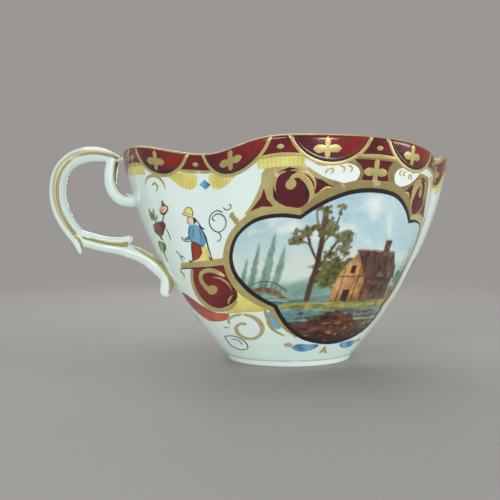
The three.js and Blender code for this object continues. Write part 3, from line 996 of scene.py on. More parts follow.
bottom_curve = bottom_left + flip(bottom_left, more=frame_pull)[-2::-1]
right_curve = flip(left_curve, more=frame_pull)[::-1]
top_curve = flip(top_left)[:0:-1] + top_left
frame_curves = (left_curve, bottom_curve, right_curve, top_curve)
picture_edge = np.vstack([smooth_path(curve, picture_step)[:-1] for curve in frame_curves])


def mottle(x, y, size, seed):
    """Smooth patches of chance tone, 0 to 1, about this size across."""
    column, row = np.floor(x / size), np.floor(y / size)
    right, up = x / size - column, y / size - row
    right, up = right * right * (3 - 2 * right), up * up * (3 - 2 * up)

    def knot(i, j):
        return np.abs(np.sin((column + i) * 127.1 + (row + j) * 311.7 + seed * 74.7) * 437.585) % 1

    lower = knot(0, 0) * (1 - right) + knot(1, 0) * right
    upper = knot(0, 1) * (1 - right) + knot(1, 1) * right
    return lower * (1 - up) + upper * up


def dabs(x, y, size, seed):
    """Mottling with finer and finer touches."""
    return (mottle(x, y, size, seed) + mottle(x, y, size / 2, seed + 1) * 0.6
            + mottle(x, y, size / 4, seed + 2) * 0.35) / 1.95


class Painting:
    """A picture painted point by point in layers of colour."""

    def __init__(self, points):
        self.x, self.y = points.T
        self.sway = np.column_stack([dabs(self.x, self.y, 2.0, 5) - 0.5, dabs(self.x, self.y, 2.0, 9) - 0.5])
        self.colour = np.zeros((len(points), 3))

    def wash(self, cover, dark, light=None, streak=(2.0, 2.0), seed=1):
        """Lays a colour over what is there, broken into brush marks between a dark and a light tone."""
        touch = dabs(self.x, self.y * streak[0] / streak[1], streak[0], seed)[:, None]
        touch = np.clip((touch - 0.5) * 1.8 + 0.5, 0, 1)
        tone = np.array(srgb(*dark)) * (1 - touch) + np.array(srgb(*(light or dark))) * touch
        self.colour += (tone - self.colour) * np.clip(cover, 0, 1)[:, None]

    def shape(self, corners, soft=0.35, sway=0.9):
        """Cover of a shape with hand-drawn edges."""
        points = np.column_stack([self.x, self.y]) + self.sway * sway
        distance, inside = far_from(np.array(corners, float), points)
        return np.clip(np.where(inside, distance, -distance) / soft + 0.5, 0, 1)

    def bush(self, x, y, wide, high, ragged=0.5):
        """Cover of a clump of leaves."""
        size = np.hypot((self.x - x) / wide, (self.y - y) / high)
        return np.clip((1 + (dabs(self.x, self.y, 1.6, 3) - 0.5) * ragged * 2 - size) * 3.5, 0, 1)

    def below(self, line, soft=0.6):
        """Cover of everything under a line."""
        return np.clip((line - self.y) / soft + 0.5, 0, 1)

    def twig(self, path, width, soft=0.3):
        """Cover of a thin line."""
        points = np.column_stack([self.x, self.y]) + self.sway * 0.4
        distance, _ = far_from(np.array(path + path[-2:0:-1], float), points)
        return np.clip((width / 2 - distance) / soft + 0.5, 0, 1)

    def spindle(self, place, low, top, width):
        """Cover of a slim tree that tapers up to a point."""
        up = np.clip((self.y - low) / (top - low), 0, 1)
        half = width * np.sqrt(up) * (1 - up) * 2.2 * (0.6 + 0.8 * dabs(self.x, self.y, 0.9, 33))
        return np.clip((half - np.abs(self.x - place)) / 0.4 + 0.4, 0, 1) * np.clip((top - self.y) / 2, 0, 1)


def rock_line(x):
    """Height of the rocks along the foot of the picture."""
    return 14.8 + 1.5 * np.sin(x / 3.4 + 0.8) - 0.012 * (x - 4) ** 2


def shore_line(x):
    """Height of the far shore of the river."""
    return 20.5 + 0.5 * np.sin(x / 3.0)


def paint_distance(p):
    """Sky and clouds, far hills, poplars and the river."""
    x, y = p.x, p.y
    p.wash(np.ones(len(x)), (200, 220, 218), (186, 212, 218), streak=(9, 4))
    p.wash((y - 28) / 22, (148, 188, 200), (180, 208, 216), streak=(8, 4), seed=4)
    p.wash(np.clip(dabs(x, y * 1.9, 9, 12) * 3.0 - 1.5, 0, 0.8), (216, 228, 226), (230, 236, 230), seed=6)
    p.wash(np.exp(-((y - 28) / 4.5) ** 2) * 0.55, (226, 228, 208))
    far_hills = 27.5 + 2.2 * np.sin(x / 8 + 2.4) + 0.9 * np.sin(x / 3.1)
    p.wash(p.below(far_hills, 1.6) * 0.85, (146, 182, 186), (172, 200, 196))
    p.wash(p.below(25.0 + 1.3 * np.sin(x / 5 + 0.6), 1.8) * 0.85, (108, 150, 136), (148, 176, 148), seed=7)
    poplars = ((-20.2, 34, 1.0), (-17.8, 37, 1.2), (-15.6, 33, 0.9), (18.6, 35, 1.1), (21.4, 38, 1.3),
               (24.6, 36, 1.1), (27.0, 33, 0.9))
    for place, top, wide in poplars:
        p.wash(p.spindle(place, 21, top, wide) * 0.8, (52, 104, 88), (112, 156, 132), (0.7, 1.4), place)
    river = p.below(shore_line(x))
    p.wash(river, (74, 112, 114), (122, 158, 152), streak=(7, 0.9), seed=8)
    p.wash(river * np.clip(dabs(x, y * 6, 6, 21) * 4 - 2.4, 0, 0.6), (184, 204, 196), seed=9)


def paint_banks(p):
    """Bushes on a sunlit bank at one side of the river and a footbridge at the other."""
    x, y = p.x, p.y
    bushes = ((-28.0, 24.8, 2.2), (-25.2, 26.2, 2.4), (-21.8, 25.6, 2.6), (-18.6, 26.6, 2.6),
              (-15.2, 25.4, 2.0))
    for place, high, wide in bushes:
        p.wash(p.bush(place, high, wide, 2.1, 1.1), (20, 70, 54), (98, 150, 98), streak=(0.9, 0.9), seed=3)
    bank = p.shape([(-31, 19.4), (-12.6, 18.8), (-12.6, 23.4), (-16, 24.4), (-19, 23.8), (-22, 25.2),
                    (-25, 24.0), (-28, 24.6), (-31, 23.8)], soft=0.5, sway=1.6)
    p.wash(bank, (62, 42, 40), (158, 108, 70), streak=(1.3, 1.1), seed=2)
    sunlit = np.clip((y - 21.5) / 4, 0, 0.7) * np.clip(dabs(x, y, 1.1, 51) * 4 - 1.8, 0, 1)
    p.wash(bank * sunlit, (196, 148, 88))
    span = [(15, 20.4), (18.2, 22.9), (22, 24.0), (25.8, 22.9), (29, 20.4), (27.4, 20.4), (25, 22.0),
            (22, 22.7), (19, 22.0), (16.6, 20.4)]
    p.wash(p.shape(span, sway=0.5), (86, 64, 54), (166, 128, 92))
    p.wash(p.twig([(15.4, 22.2), (18.4, 24.5), (22, 25.5), (25.6, 24.5), (28.6, 22.2)], 0.25), (74, 56, 50))
    for post in (17.0, 19.4, 22.0, 24.6, 27.0):
        p.wash(p.twig([(post, 21.8), (post, 23), (post, 24.9 - 0.09 * (post - 22) ** 2)], 0.2), (74, 56, 50))


def paint_tree(p):
    """A tall tree with open boughs, and a bush behind it."""
    p.wash(p.bush(6.4, 27.6, 4.6, 5.2, 0.9), (44, 58, 36), (124, 124, 62), streak=(0.9, 0.9), seed=14)
    boughs = [([(10.4, 18), (10.7, 24), (10.5, 30), (10.9, 36), (11.3, 42.5)], 1.3),
              ([(10.5, 28), (8.6, 32), (6.9, 36)], 0.6),
              ([(10.6, 30), (13.2, 34), (14.8, 38.5)], 0.6),
              ([(10.8, 34), (8.6, 38), (8.2, 40.5)], 0.45),
              ([(13.2, 34), (15.8, 35.6), (17.2, 36)], 0.35),
              ([(10.9, 36), (12.8, 40), (13.4, 42.4)], 0.35),
              ([(8.6, 32), (6.4, 33), (5.2, 34.2)], 0.3)]
    for path, width in boughs:
        p.wash(p.twig(path, width), (44, 34, 30), (108, 76, 54), streak=(0.6, 2.5))
    leaves = ((10.8, 38.6, 3.8, 2.6), (7.0, 36.2, 2.8, 1.9), (14.6, 37.2, 2.9, 2.0), (11.2, 42.2, 2.6, 1.8),
              (5.6, 33.4, 1.9, 1.2), (16.4, 34.6, 1.9, 1.1))
    for place, high, wide, tall in leaves:
        p.wash(p.bush(place, high, wide, tall, 1.5) * 0.9, (40, 44, 30), (132, 124, 66), (0.7, 0.7), place)


def paint_cottage(p):
    """A timbered cottage with a smoking chimney."""
    x, y = p.x, p.y
    walls = p.shape([(-12.2, 18.5), (-1.8, 18.5), (-1.8, 26.6), (-12.2, 26.6)], soft=0.45, sway=0.7)
    p.wash(walls, (66, 44, 42), (136, 92, 66), streak=(0.9, 1.3), seed=11)
    p.wash(walls * np.clip((-4 - x) / 9, 0, 0.65), (46, 30, 34), (84, 56, 48), streak=(0.8, 2), seed=27)
    gable = p.shape([(-2.2, 18.5), (5.2, 18.5), (5.0, 26.2), (1.6, 32.4), (-2.2, 26.6)], soft=0.45, sway=0.7)
    p.wash(gable, (122, 76, 50), (206, 152, 96), streak=(1.1, 1.8), seed=13)
    p.wash(gable * np.clip((x + 0.5) / 7, 0, 0.7), (196, 136, 80), (236, 196, 132), (0.8, 1.2), seed=29)
    p.wash(gable * p.below(20.6, 2.2) * 0.6, (78, 52, 42), (116, 84, 52), seed=30)
    beams = ([(-1.9, 26.3), (1.6, 26.2), (5.0, 26.1)], [(-0.4, 18.6), (-0.3, 22), (-0.3, 28.6)],
             [(3.6, 18.6), (3.6, 22), (3.5, 28.4)])
    for path in beams:
        p.wash(p.twig(path, 0.3) * 0.8, (60, 40, 36))
    p.wash(p.shape([(-12.2, 25.0), (-1.9, 25.0), (-1.9, 26.4), (-12.2, 26.4)], soft=1.0) * 0.7, (36, 24, 28))
    roof = p.shape([(-13.6, 26.0), (-2.0, 26.0), (1.8, 32.8), (-9.6, 32.6)], soft=0.45, sway=0.9)
    p.wash(roof, (44, 30, 34), (116, 78, 62), streak=(0.7, 2.2), seed=15)
    p.wash(roof * np.clip(dabs(x, y, 2.2, 43) * 5 - 2.9, 0, 0.6), (98, 98, 62), (138, 126, 78), seed=16)
    p.wash(p.twig([(-9.6, 32.7), (-4, 32.8), (1.8, 32.9)], 0.4) * 0.8, (148, 108, 82))
    chimney = p.shape([(-7.6, 31.6), (-5.4, 31.6), (-5.5, 35.6), (-7.5, 35.6)], sway=0.5)
    p.wash(chimney, (60, 40, 40), (126, 86, 66), streak=(0.6, 1))
    smoke = np.exp(-((x + 6.4 - 0.35 * (y - 35.6)) / (0.5 + 0.12 * np.abs(y - 35.6))) ** 2)
    p.wash(smoke * np.clip((y - 35.4) / 1.5, 0, 1) * np.clip((44 - y) / 8, 0, 0.55), (236, 236, 228))
    openings = ((0.8, 2.6, 18.6, 22.6), (-9.9, -8.5, 21.6, 23.8), (-6.3, -4.9, 21.6, 23.8),
                (0.9, 2.1, 27, 29))
    for left, right, low, top in openings:
        opening = p.shape([(left, low), (right, low), (right, top), (left, top)], sway=0.4)
        p.wash(opening, (30, 22, 28), (58, 44, 44))


def paint_foreground(p):
    """Grass, the cottage and the tree mirrored in the river, and rocks."""
    x, y = p.x, p.y
    grass = p.shape([(-31, 17.4), (-14, 16.9), (-2, 17.3), (12, 17.0), (20, 18.3), (12, 19.5), (2, 19.2),
                     (-14, 19.6), (-31, 20.2)], soft=0.6, sway=1.6)
    p.wash(grass, (92, 106, 54), (188, 178, 104), streak=(1.6, 0.7), seed=17)
    ripple = 0.55 + 0.45 * np.sin(y * 4.2 + dabs(x, y, 3, 37) * 6)
    mirrored = p.shape([(-13, 9.5), (-9.5, 17), (6, 17), (4.5, 11)], soft=2.5)
    p.wash(mirrored * ripple, (58, 38, 38), (132, 86, 62), streak=(0.9, 3))
    p.wash(p.spindle(10.6, 8, 18.5, 1.2) * ripple, (58, 50, 42), (92, 84, 62))
    open_water = p.below(shore_line(x) - 3) * np.clip((x - 7) / 6, 0, 0.5)
    p.wash(open_water * (1 - ripple), (64, 124, 150), (120, 176, 190), streak=(5, 0.8), seed=47)
    rocks = p.below(rock_line(x) + (dabs(x, y, 2, 31) - 0.5) * 3.2)
    p.wash(rocks, (38, 26, 28), (112, 72, 52), streak=(2.2, 1.1), seed=19)
    deep_shade = p.below(9.5 + 0.8 * np.sin(x / 2.3), 1.6) * 0.75
    p.wash(deep_shade, (30, 20, 24), (70, 46, 38), streak=(2, 1), seed=23)
    p.wash(rocks * np.clip(dabs(x, y * 2, 2.0, 41) * 5 - 3.1, 0, 0.7) * p.below(13), (188, 130, 78), seed=25)
    for place, wide in ((-9.5, 1.6), (-5.8, 1.3), (7.4, 1.7), (11.2, 1.3)):
        tuft = p.bush(place, rock_line(place), wide, 0.8, 1.2) * 0.85
        p.wash(tuft, (34, 44, 30), (96, 96, 52), streak=(0.6, 0.8), seed=place)


def river_landscape(points):
    """The colours of a river landscape, painted from the distance to the foreground."""
    p = Painting(points * [-1, 1])
    for paint in (paint_distance, paint_banks, paint_tree, paint_cottage, paint_foreground):
        paint(p)
    return p.colour


def picture_piece(name, place):
    """The picture as a fine mesh, ring inside ring from its edge to its middle, with painted colours."""

    def ring(share, height):
        around = picture_middle + (picture_edge - picture_middle) * share
        return np.column_stack([around, np.full(len(around), height)])

    drawing = Flat()
    under = [ring(share, -sink) for share in np.linspace(0, 1, under_rings + 1)[1:]]
    top = [ring(share, picture_relief) for share in np.linspace(1, 0, picture_rings + 1)[1:-1]]
    rows = [*under, ring(1.0, picture_relief * edge_share), *top]
    verts = np.vstack([[(*picture_middle, -sink)], *rows, [(*picture_middle, picture_relief)]])
    n = len(picture_edge)
    start = 1 + np.arange(len(rows))[:, None] * n + np.arange(n)
    ahead = np.roll(start, -1, 1)
    faces = [(0, b, a) for a, b in zip(start[0], ahead[0])]
    for row in range(len(rows) - 1):
        faces += list(zip(start[row], ahead[row], ahead[row + 1], start[row + 1]))
    faces += [(a, b, len(verts) - 1) for a, b in zip(start[-1], ahead[-1])]
    drawing.add(verts, faces, 0.5)
    piece = drawing.piece(name, [place])
    painted = river_landscape(verts[:, :2])
    colours = np.column_stack([painted, np.ones(len(painted))])
    piece.data.attributes.new("painted", "FLOAT_COLOR", "POINT").data.foreach_set("color", colours.ravel())
    return piece


canvas = Finish("painted picture", IOR=1.5, Coat_Weight=0.35, Coat_Roughness=0.05)
kiln = canvas.group(fired, **{"Tone size": 0.0012, "Ripple size": 0.0012})
painted = canvas.node("ShaderNodeAttribute", attribute_name="painted").outputs["Color"]
shaded = canvas.node("ShaderNodeMix", {0: kiln["Tone"].between(0.35, 0.75) * 0.22, 6: painted, 7: painted},
                     data_type="RGBA", blend_type="MULTIPLY").outputs[2]
picture_finish = canvas.dress(Base_Color=shaded, Roughness=kiln["Tone"] * 0.12 + 0.09, height=kiln["Ripple"],
                              height_distance=0.00004)
for name, place in zip(("picture_front", "picture_back"), front_and_back):
    lay(name, picture_piece(name, place), picture_finish, "picture_enamel", [place])
frame_line = Flat()
frame_gilt = Flat()
for curve in frame_curves:
    line = np.array(curve, float)
    run_on = [line[0] + (line[0] - line[1]) * cusp_lap, line[-1] + (line[-1] - line[-2]) * cusp_lap]
    widths = [0.9, 0.4, 0.3, 0.4, 0.9] if curve is right_curve else [0.9, 1.0, 1.0, 0.9]
    frame_line.stroke([run_on[0], *line, run_on[1]], widths, frame_line_relief, wash=0.9)
for sense in (1, -1):
    side_frame = [(-16.0, 41.5), (-21.2, 42.2), (-28.0, 41.5), (-31.9, 38.2), (-32.75, 33.4), (-31.0, 28.4),
                  (-26.5, 23.4), (-21.4, 19.6), (-17.6, 17.4)]
    bottom_frame = [(-18.0, 17.9), (-16.1, 15.1), (-12.9, 11.6), (-9.2, 8.4)]
    strength = 0.5 if sense > 0 else 0.3
    widths = np.array([1.6, 1.9, 2.2, 2.4, 2.3, 2.2, 2.0, 1.4, 1.2]) * (1 if sense > 0 else 0.7)
    frame_gilt.stroke(flip(side_frame, sense, frame_pull), widths, frame_relief, strength)
    frame_gilt.stroke(flip(bottom_frame, sense, frame_pull), [1.2, 1.0, 0.8, 0.3], frame_relief, strength)
    frame_spur = [(-30.9, 41.0), (-32.0, 42.0), (-33.4, 43.7)]
    frame_gilt.stroke(flip(frame_spur, sense), [1.6, 1.1, 1.0, 1.9], gilt_relief)
top_frame = [(-1.5, 47.9), (-7.8, 47.1), (-13.8, 44.2), (-16.9, 41.4)]
frame_gilt.stroke(flip(top_frame)[:0:-1] + top_frame, [1.8, 2.3, 2.5, 2.3, 1.8], frame_relief, wash=0.85)
lay("picture_gilt_frame", frame_gilt, gilding, "gilding", front_and_back)
lay("picture_black_line", frame_line, pen_black, "dark_enamel", front_and_back)

# Upper scroll panels
# The space between border and picture is gilt, with red panels that carry gilt scrolls, white reserves
# and a small red panel with a cross over the middle, all in enamel on the glaze.
upper_middle = -1.4
ground_relief = 0.03
white_enamel = enamel("white enamel", (232, 240, 236), (214, 226, 220))
upper_ground = Flat()
upper_red = Flat()
upper_white = Flat()
upper_gilt = Flat()
upper_dark = Flat()


def halves(points):
    """The same points for the left half and, turned over, for the right half."""
    return [flip(points, sense) for sense in (1, -1)]


def disc(centre, radius):
    """Outline of a round dot."""
    return arc(centre, radius, 0, 345, 0.3)


ground_left = [(-1.0, 54.6), (-6.0, 54.0), (-8, 52.9), (-12, 52.2), (-16.8, 52.3), (-25.6, 52.2),
               (-26.6, 50.6), (-26.5, 48.8), (-27.0, 46.9), (-28.2, 44.4), (-29.6, 42.6), (-28.0, 41.6),
               (-21.2, 42.6), (-16.8, 40.8), (-13.8, 43.2), (-7.8, 46.0), (-1.0, 46.8)]
left_part, right_part = halves(ground_left)
upper_ground.patch(straight(left_part + right_part[-2:0:-1] + left_part[:1]), ground_relief,
                   wash=lambda x, y: np.interp(x, [-23, -17, -9, 6, 16], [0.4, 0.55, 0.95, 0.95, 0.8]))
swirl_panel = [(-22.9, 50.5), (-21.4, 50.9), (-19.4, 50.7), (-16.6, 50.0), (-14.0, 48.7), (-10.4, 47.1),
               (-13.3, 46.3), (-14.7, 45.4), (-15.3, 44.2), (-16.4, 43.1), (-18.2, 42.6), (-20.3, 43.1),
               (-22.3, 44.6), (-23.4, 47.6)]
small_corner = [(-25.7, 47.5), (-26.1, 45.6), (-28.3, 42.9), (-25.5, 43.5), (-22.8, 43.1), (-24.6, 45.0),
                (-25.7, 47.5)]
reserve = [(-17.4, 52.3), (-15.8, 52.3), (-13.9, 51.7), (-12.2, 51.9), (-9.9, 52.3), (-7.5, 52.3),
           (-5.9, 51.6), (-5.2, 50.5), (-5.8, 48.9), (-7.7, 48.2), (-10.2, 48.6), (-12.3, 49.2),
           (-14.9, 50.5)]
comma = [(-20.0, 48.4), (-19.6, 49.4), (-18.4, 49.8), (-16.9, 49.0), (-15.6, 47.3), (-15.0, 45.5),
         (-15.6, 43.6)]
for points in halves(swirl_panel):
    upper_red.pool(points, red_relief, wash=lambda x, y: 0.85 + 0.03 * (47 - y))
for points in halves(small_corner):
    upper_red.patch(straight(points, 0.4), red_relief, wash=0.75)
for points in halves(reserve):
    upper_white.pool(points, red_relief, wash=0.3)
upper_strokes = [
    (comma, [0.9, 1.0, 1.2, 1.3, 1.2, 0.9, 0.2]),
    ([(-19.2, 50.3), (-16.9, 50.3), (-14.9, 48.6), (-14.5, 46.6)], [0.2, 0.6, 0.6, 0.2]),
    ([(-22.9, 46.4), (-23.4, 48.2), (-22.9, 50.0), (-21.2, 50.7)], [0.15, 0.7, 0.7, 0.2]),
    ([(-13.6, 46.2), (-12.3, 47.0), (-10.7, 47.2)], [0.2, 0.7, 0.15]),
    ([(-12.8, 50.0), (-12.5, 51.0), (-11.7, 51.4), (-11.2, 50.8), (-11.7, 50.2)], [0.4, 0.5, 0.5, 0.5, 0.7]),
    ([(-9.9, 51.9), (-8.9, 51.5), (-8.8, 50.9), (-9.4, 50.7)], [0.5, 0.45, 0.45, 0.6]),
    ([(-8.2, 52.0), (-7.2, 51.6), (-7.2, 50.9), (-7.7, 50.6)], [0.5, 0.4, 0.4, 0.5]),
]
for path, widths in upper_strokes:
    for points in halves(path):
        upper_gilt.stroke(points, widths, raised_gilt)
for points in halves(disc((-19.8, 47.9), 1.15)):
    upper_gilt.patch(points, raised_gilt, wash=0.55)
upper_shading = [
    ([(-18.0, 48.9), (-16.8, 48.0), (-16.1, 46.4), (-16.3, 44.2)], [0.1, 0.6, 0.7, 0.1]),
    ([(-23.6, 47.6), (-22.9, 45.2), (-21.4, 43.6)], [0.1, 0.5, 0.1]),
    ([(-15.2, 49.4), (-13.4, 48.5), (-11.8, 47.8)], [0.1, 0.7, 0.1]),
    ([(-18.6, 51.0), (-20.4, 51.2), (-22.4, 50.8)], [0.1, 0.6, 0.1]),
]
for path, widths in upper_shading:
    for points in halves(path):
        upper_dark.stroke(points, widths, dark_relief, wash=0.9)
cross_panel = [(-7.0, 53.4), (-5.1, 52.0), (-4.2, 50.6), (-4.7, 48.3), (2.4, 48.3), (1.7, 50.6),
               (1.9, 52.0), (3.0, 53.4)]
upper_red.patch(straight(cross_panel + cross_panel[:1], 0.4), red_relief, wash=0.85)
upper_gilt.stroke([(upper_middle, height) for height in (53.6, 51, 48.2)], [1.3, 1.1, 1.3], raised_gilt)
for sense in (1, -1):
    cross_arm = [(upper_middle + sense * reach, 50.8) for reach in (3.0, 1.9, 0.2)]
    upper_gilt.stroke(cross_arm, [1.0, 1.9, 1.3], raised_gilt)
lay("upper_gilt_ground", upper_ground, gilding, "gilding", front_and_back)
lay("upper_red_panels", upper_red, iron_red, "red_enamel", front_and_back)
lay("upper_white_reserves", upper_white, white_enamel, "porcelain", front_and_back)
lay("upper_shading", upper_dark, pen_black, "dark_enamel", front_and_back)
lay("upper_gilt_scrolls", upper_gilt, gilding, "gilding", front_and_back)

# Lower scroll panels
# Beside and below each picture hang a gilt ledge, a red panel with a gilt scroll, an orange leaf, a yellow
# corner, open gilt scrolls, blue crescents and pen loops, in enamel and gold fired on the glaze. Towards the
# far lobe there are fewer of them and they are drawn together.
coral = enamel("coral enamel", (198, 104, 72), (146, 42, 36))
lower_red = Flat()
lower_coral = Flat()
lower_yellow = Flat()
lower_blue = Flat()
lower_gilt = Flat()
lower_dark = Flat()
lower_panel = [(-42.2, 29.1), (-37.4, 30.0), (-32.2, 31.0), (-30.9, 28.4), (-29.3, 25.6), (-27.8, 22.9),
               (-27.5, 21.3), (-29.2, 19.0), (-31.7, 17.7), (-35.4, 18.0), (-39.1, 21.0), (-41.1, 24.6)]
yellow_corner = [(-28.4, 23.6), (-25.2, 21.8), (-22.5, 20.0), (-18.6, 18.4), (-18.9, 17.2), (-24.7, 17.0),
                 (-29.4, 16.6), (-29.6, 18.4), (-28.4, 20.8)]
leaf_top = [(-47.8, 20.2), (-46.0, 20.3), (-41.6, 18.9), (-36.2, 16.9), (-32.5, 16.0), (-28.6, 16.2)]
leaf_low = [(-44.7, 16.8), (-39.6, 14.1), (-35.2, 12.6), (-31.5, 12.9), (-28.7, 14.3)]
leaf_ends = {1: (leaf_top, leaf_low), -1: ([(-37.6, 16.2), *leaf_top[3:]], leaf_low[2:])}
lower_strokes = [
    ([(-46.3, 29.0), (-43.4, 29.6), (-38.2, 30.9), (-32.6, 32.0)], [1.8, 1.6, 1.8, 2.0]),
    ([(-42.2, 28.7), (-41.6, 24.4), (-39.2, 20.3), (-35.4, 17.6), (-32.0, 17.0), (-29.0, 18.1),
      (-27.2, 20.6)], [0.9, 1.1, 1.3, 1.4, 1.4, 1.3, 0.7]),
    ([(-35.6, 22.9), (-37.2, 24.0), (-39.0, 26.1), (-39.0, 28.0), (-37.1, 29.1), (-34.7, 28.8),
      (-32.2, 27.6)], [1.7, 1.3, 1.2, 1.2, 1.3, 1.1, 0.5]),
    ([(-35.6, 27.2), (-33.4, 27.0), (-30.8, 25.4), (-28.8, 22.9)], [0.2, 0.6, 0.6, 0.2]),
    ([(-28.9, 22.4), (-29.6, 21.0), (-29.5, 19.3)], [0.2, 0.8, 0.2]),
    ([(-46.0, 28.4), (-46.3, 27.2), (-44.9, 26.2), (-45.1, 24.9)], [0.4, 0.6, 0.5, 0.2]),
]
open_scrolls = [
    ([(-24.6, 16.4), (-21.7, 15.4), (-19.2, 13.2), (-18.1, 10.5), (-19.1, 8.5), (-21.7, 8.2), (-24.4, 9.7),
      (-25.5, 12.0), (-24.4, 13.3), (-22.9, 13.0)], [0.7, 0.9, 1.1, 1.1, 1.1, 1.0, 1.0, 1.1, 1.0, 0.8]),
    ([(-24.9, 16.4), (-27.1, 15.7), (-28.3, 14.3), (-27.6, 12.6)], [0.7, 0.9, 0.9, 0.5]),
    ([(-29.4, 11.0), (-28.2, 11.4), (-27.2, 11.4)], [0.3, 0.6, 0.3]),
]
corner_curl = [(-19.4, 17.5), (-18.0, 14.8), (-16.4, 12.1), (-14.4, 10.3), (-12.2, 9.0)]
bottom_dab = [(-11.6, 6.1), (-10.4, 6.0), (-9.3, 5.5)]
corner_blue = [(-18.4, 16.8), (-17.1, 15.7), (-15.5, 13.8), (-13.8, 11.4), (-15.1, 11.4), (-17.0, 13.7)]
bottom_blue = [(-9.4, 5.2), (-8.2, 6.2), (-5.7, 6.1), (-3.0, 5.7), (-3.6, 4.5), (-5.4, 3.7), (-7.8, 3.9)]
pen_strokes = [
    ([(-46.0, 28.1), (-40.3, 29.3), (-33.4, 30.7)], [0.35]),
    ([(-28.5, 7.8), (-25.3, 8.5), (-21.7, 6.9), (-20.2, 4.3), (-21.6, 3.5), (-25.3, 4.4), (-28.4, 7.7)],
     [0.24]),
    ([(-26.0, 7.2), (-24.0, 7.3), (-22.0, 5.6)], [0.2]),
    ([(-30.6, 25.6), (-29.2, 23.4), (-28.4, 21.4), (-29.4, 19.2)], [0.1, 0.4, 0.7, 0.1]),
]
far_pen_strokes = [pen_strokes[0], pen_strokes[-1]]
far_step = 4.0
far_flank = 29.0
far_squeeze = 0.62


def around(points, sense):
    """Points of the near half as they are, or turned over and drawn together on the far lobe's flank."""
    x, y = np.array(flip(points, sense)).T
    if sense < 0:
        x = np.minimum(x + far_step, far_flank + far_squeeze * (x + far_step - far_flank))
    return list(zip(x, y))


for sense in (1, -1):
    lower_red.pool(around(lower_panel, sense), red_relief, wash=lambda x, y: 0.45 + 0.03 * (24 - y))
    lower_yellow.pool(around(yellow_corner, sense), yellow_relief, wash=lambda x, y: 0.2 + 0.1 * (21 - y))
    upper_edge, lower_edge = leaf_ends[sense]
    lower_coral.pool(around(upper_edge + lower_edge[::-1], sense), yellow_relief,
                     wash=lambda x, y: 0.2 + 0.045 * (np.abs(x) - 28))
    for path, widths in lower_strokes:
        lower_gilt.stroke(around(path, sense), widths, gilt_relief)
    for path, widths in open_scrolls:
        lower_gilt.stroke(around(path, sense), widths, gilt_relief, wash=0.32)
    lower_gilt.patch(around(disc((-35.0, 23.3), 1.5), sense), gilt_relief)
    lower_gilt.stroke(flip(bottom_dab, sense), [0.6, 1.4, 0.9], gilt_relief)
    for path, widths in pen_strokes if sense > 0 else far_pen_strokes:
        lower_dark.stroke(around(path, sense), widths, dark_relief, wash=0.8)
lower_gilt.stroke(corner_curl, [0.5, 0.9, 0.8, 0.6, 0.3], gilt_relief)
for outline in (corner_blue, bottom_blue, flip(bottom_blue)):
    lower_blue.pool(outline, yellow_relief, wash=lambda x, y: 0.35 + 0.4 * np.sin(x * 1.3 + y))
lower_gilt.stroke([(-1.7, 2.7), (-1.2, 4.0), (-1.0, 5.3)], [0.5, 0.9, 0.5], gilt_relief)
lower_gilt.stroke([(0.3, 2.5), (-0.5, 3.5), (-1.0, 4.5)], [0.5, 0.7, 0.4], gilt_relief)
lay("lower_red_panels", lower_red, iron_red, "red_enamel", front_and_back)
lay("lower_coral_leaves", lower_coral, coral, "red_enamel", front_and_back)
lay("lower_yellow_corners", lower_yellow, straw, "yellow_enamel", front_and_back)
lay("lower_blue_crescents", lower_blue, sky_blue, "blue_enamel", front_and_back)
lay("lower_pen_lines", lower_dark, pen_black, "dark_enamel", front_and_back)
lay("lower_gilt_scrolls", lower_gilt, gilding, "gilding", front_and_back)

# Figures and flowers
# A small walker in a straw hat stands on the ledge beside each picture, with a loop of pen work, and a sprig
# of fruit and leaves grows beside the handle. On the far lobe a bunch of flowers stands on the ledges. All
# are thin enamel, laid with a fine brush, with outlines drawn by the pen.
leaf_green = enamel("leaf green enamel", (132, 170, 92), (44, 92, 52))
skin_tint = enamel("flesh tint enamel", (236, 206, 184), (214, 160, 130))
overlap = 0.003
brush_relief = yellow_relief + 0.02
figure_colours = ("blue", "red", "coral", "yellow", "green", "skin", "pen", "gilt")
figure_flats = {colour: Flat() for colour in figure_colours}


def oval(x, y, wide, high, lean=0.0):
    """Outline of an oval of these half sizes, leaning by an angle in degrees."""
    turns = np.linspace(0, 2 * math.pi, 20, endpoint=False)
    right, up = wide * np.cos(turns), high * np.sin(turns)
    c, s = math.cos(math.radians(lean)), math.sin(math.radians(lean))
    return np.column_stack([x + right * c - up * s, y + right * s + up * c])


def blot(points, spacing=0.35):
    """A smooth closed outline through these points."""
    return smooth_path(points, spacing, closed=True)


def draw(flats, patches, strokes):
    """Adds patches of (colour, outline, wash) and strokes of (colour, path, widths) to the drawings."""
    for order, (colour, outline, wash) in enumerate(patches):
        flats[colour].patch(outline, yellow_relief + overlap * order, wash=wash, grain=0.5)
    for colour, path, widths in strokes:
        flats[colour].stroke(path, widths, dark_relief if colour == "pen" else brush_relief, spacing=0.3)


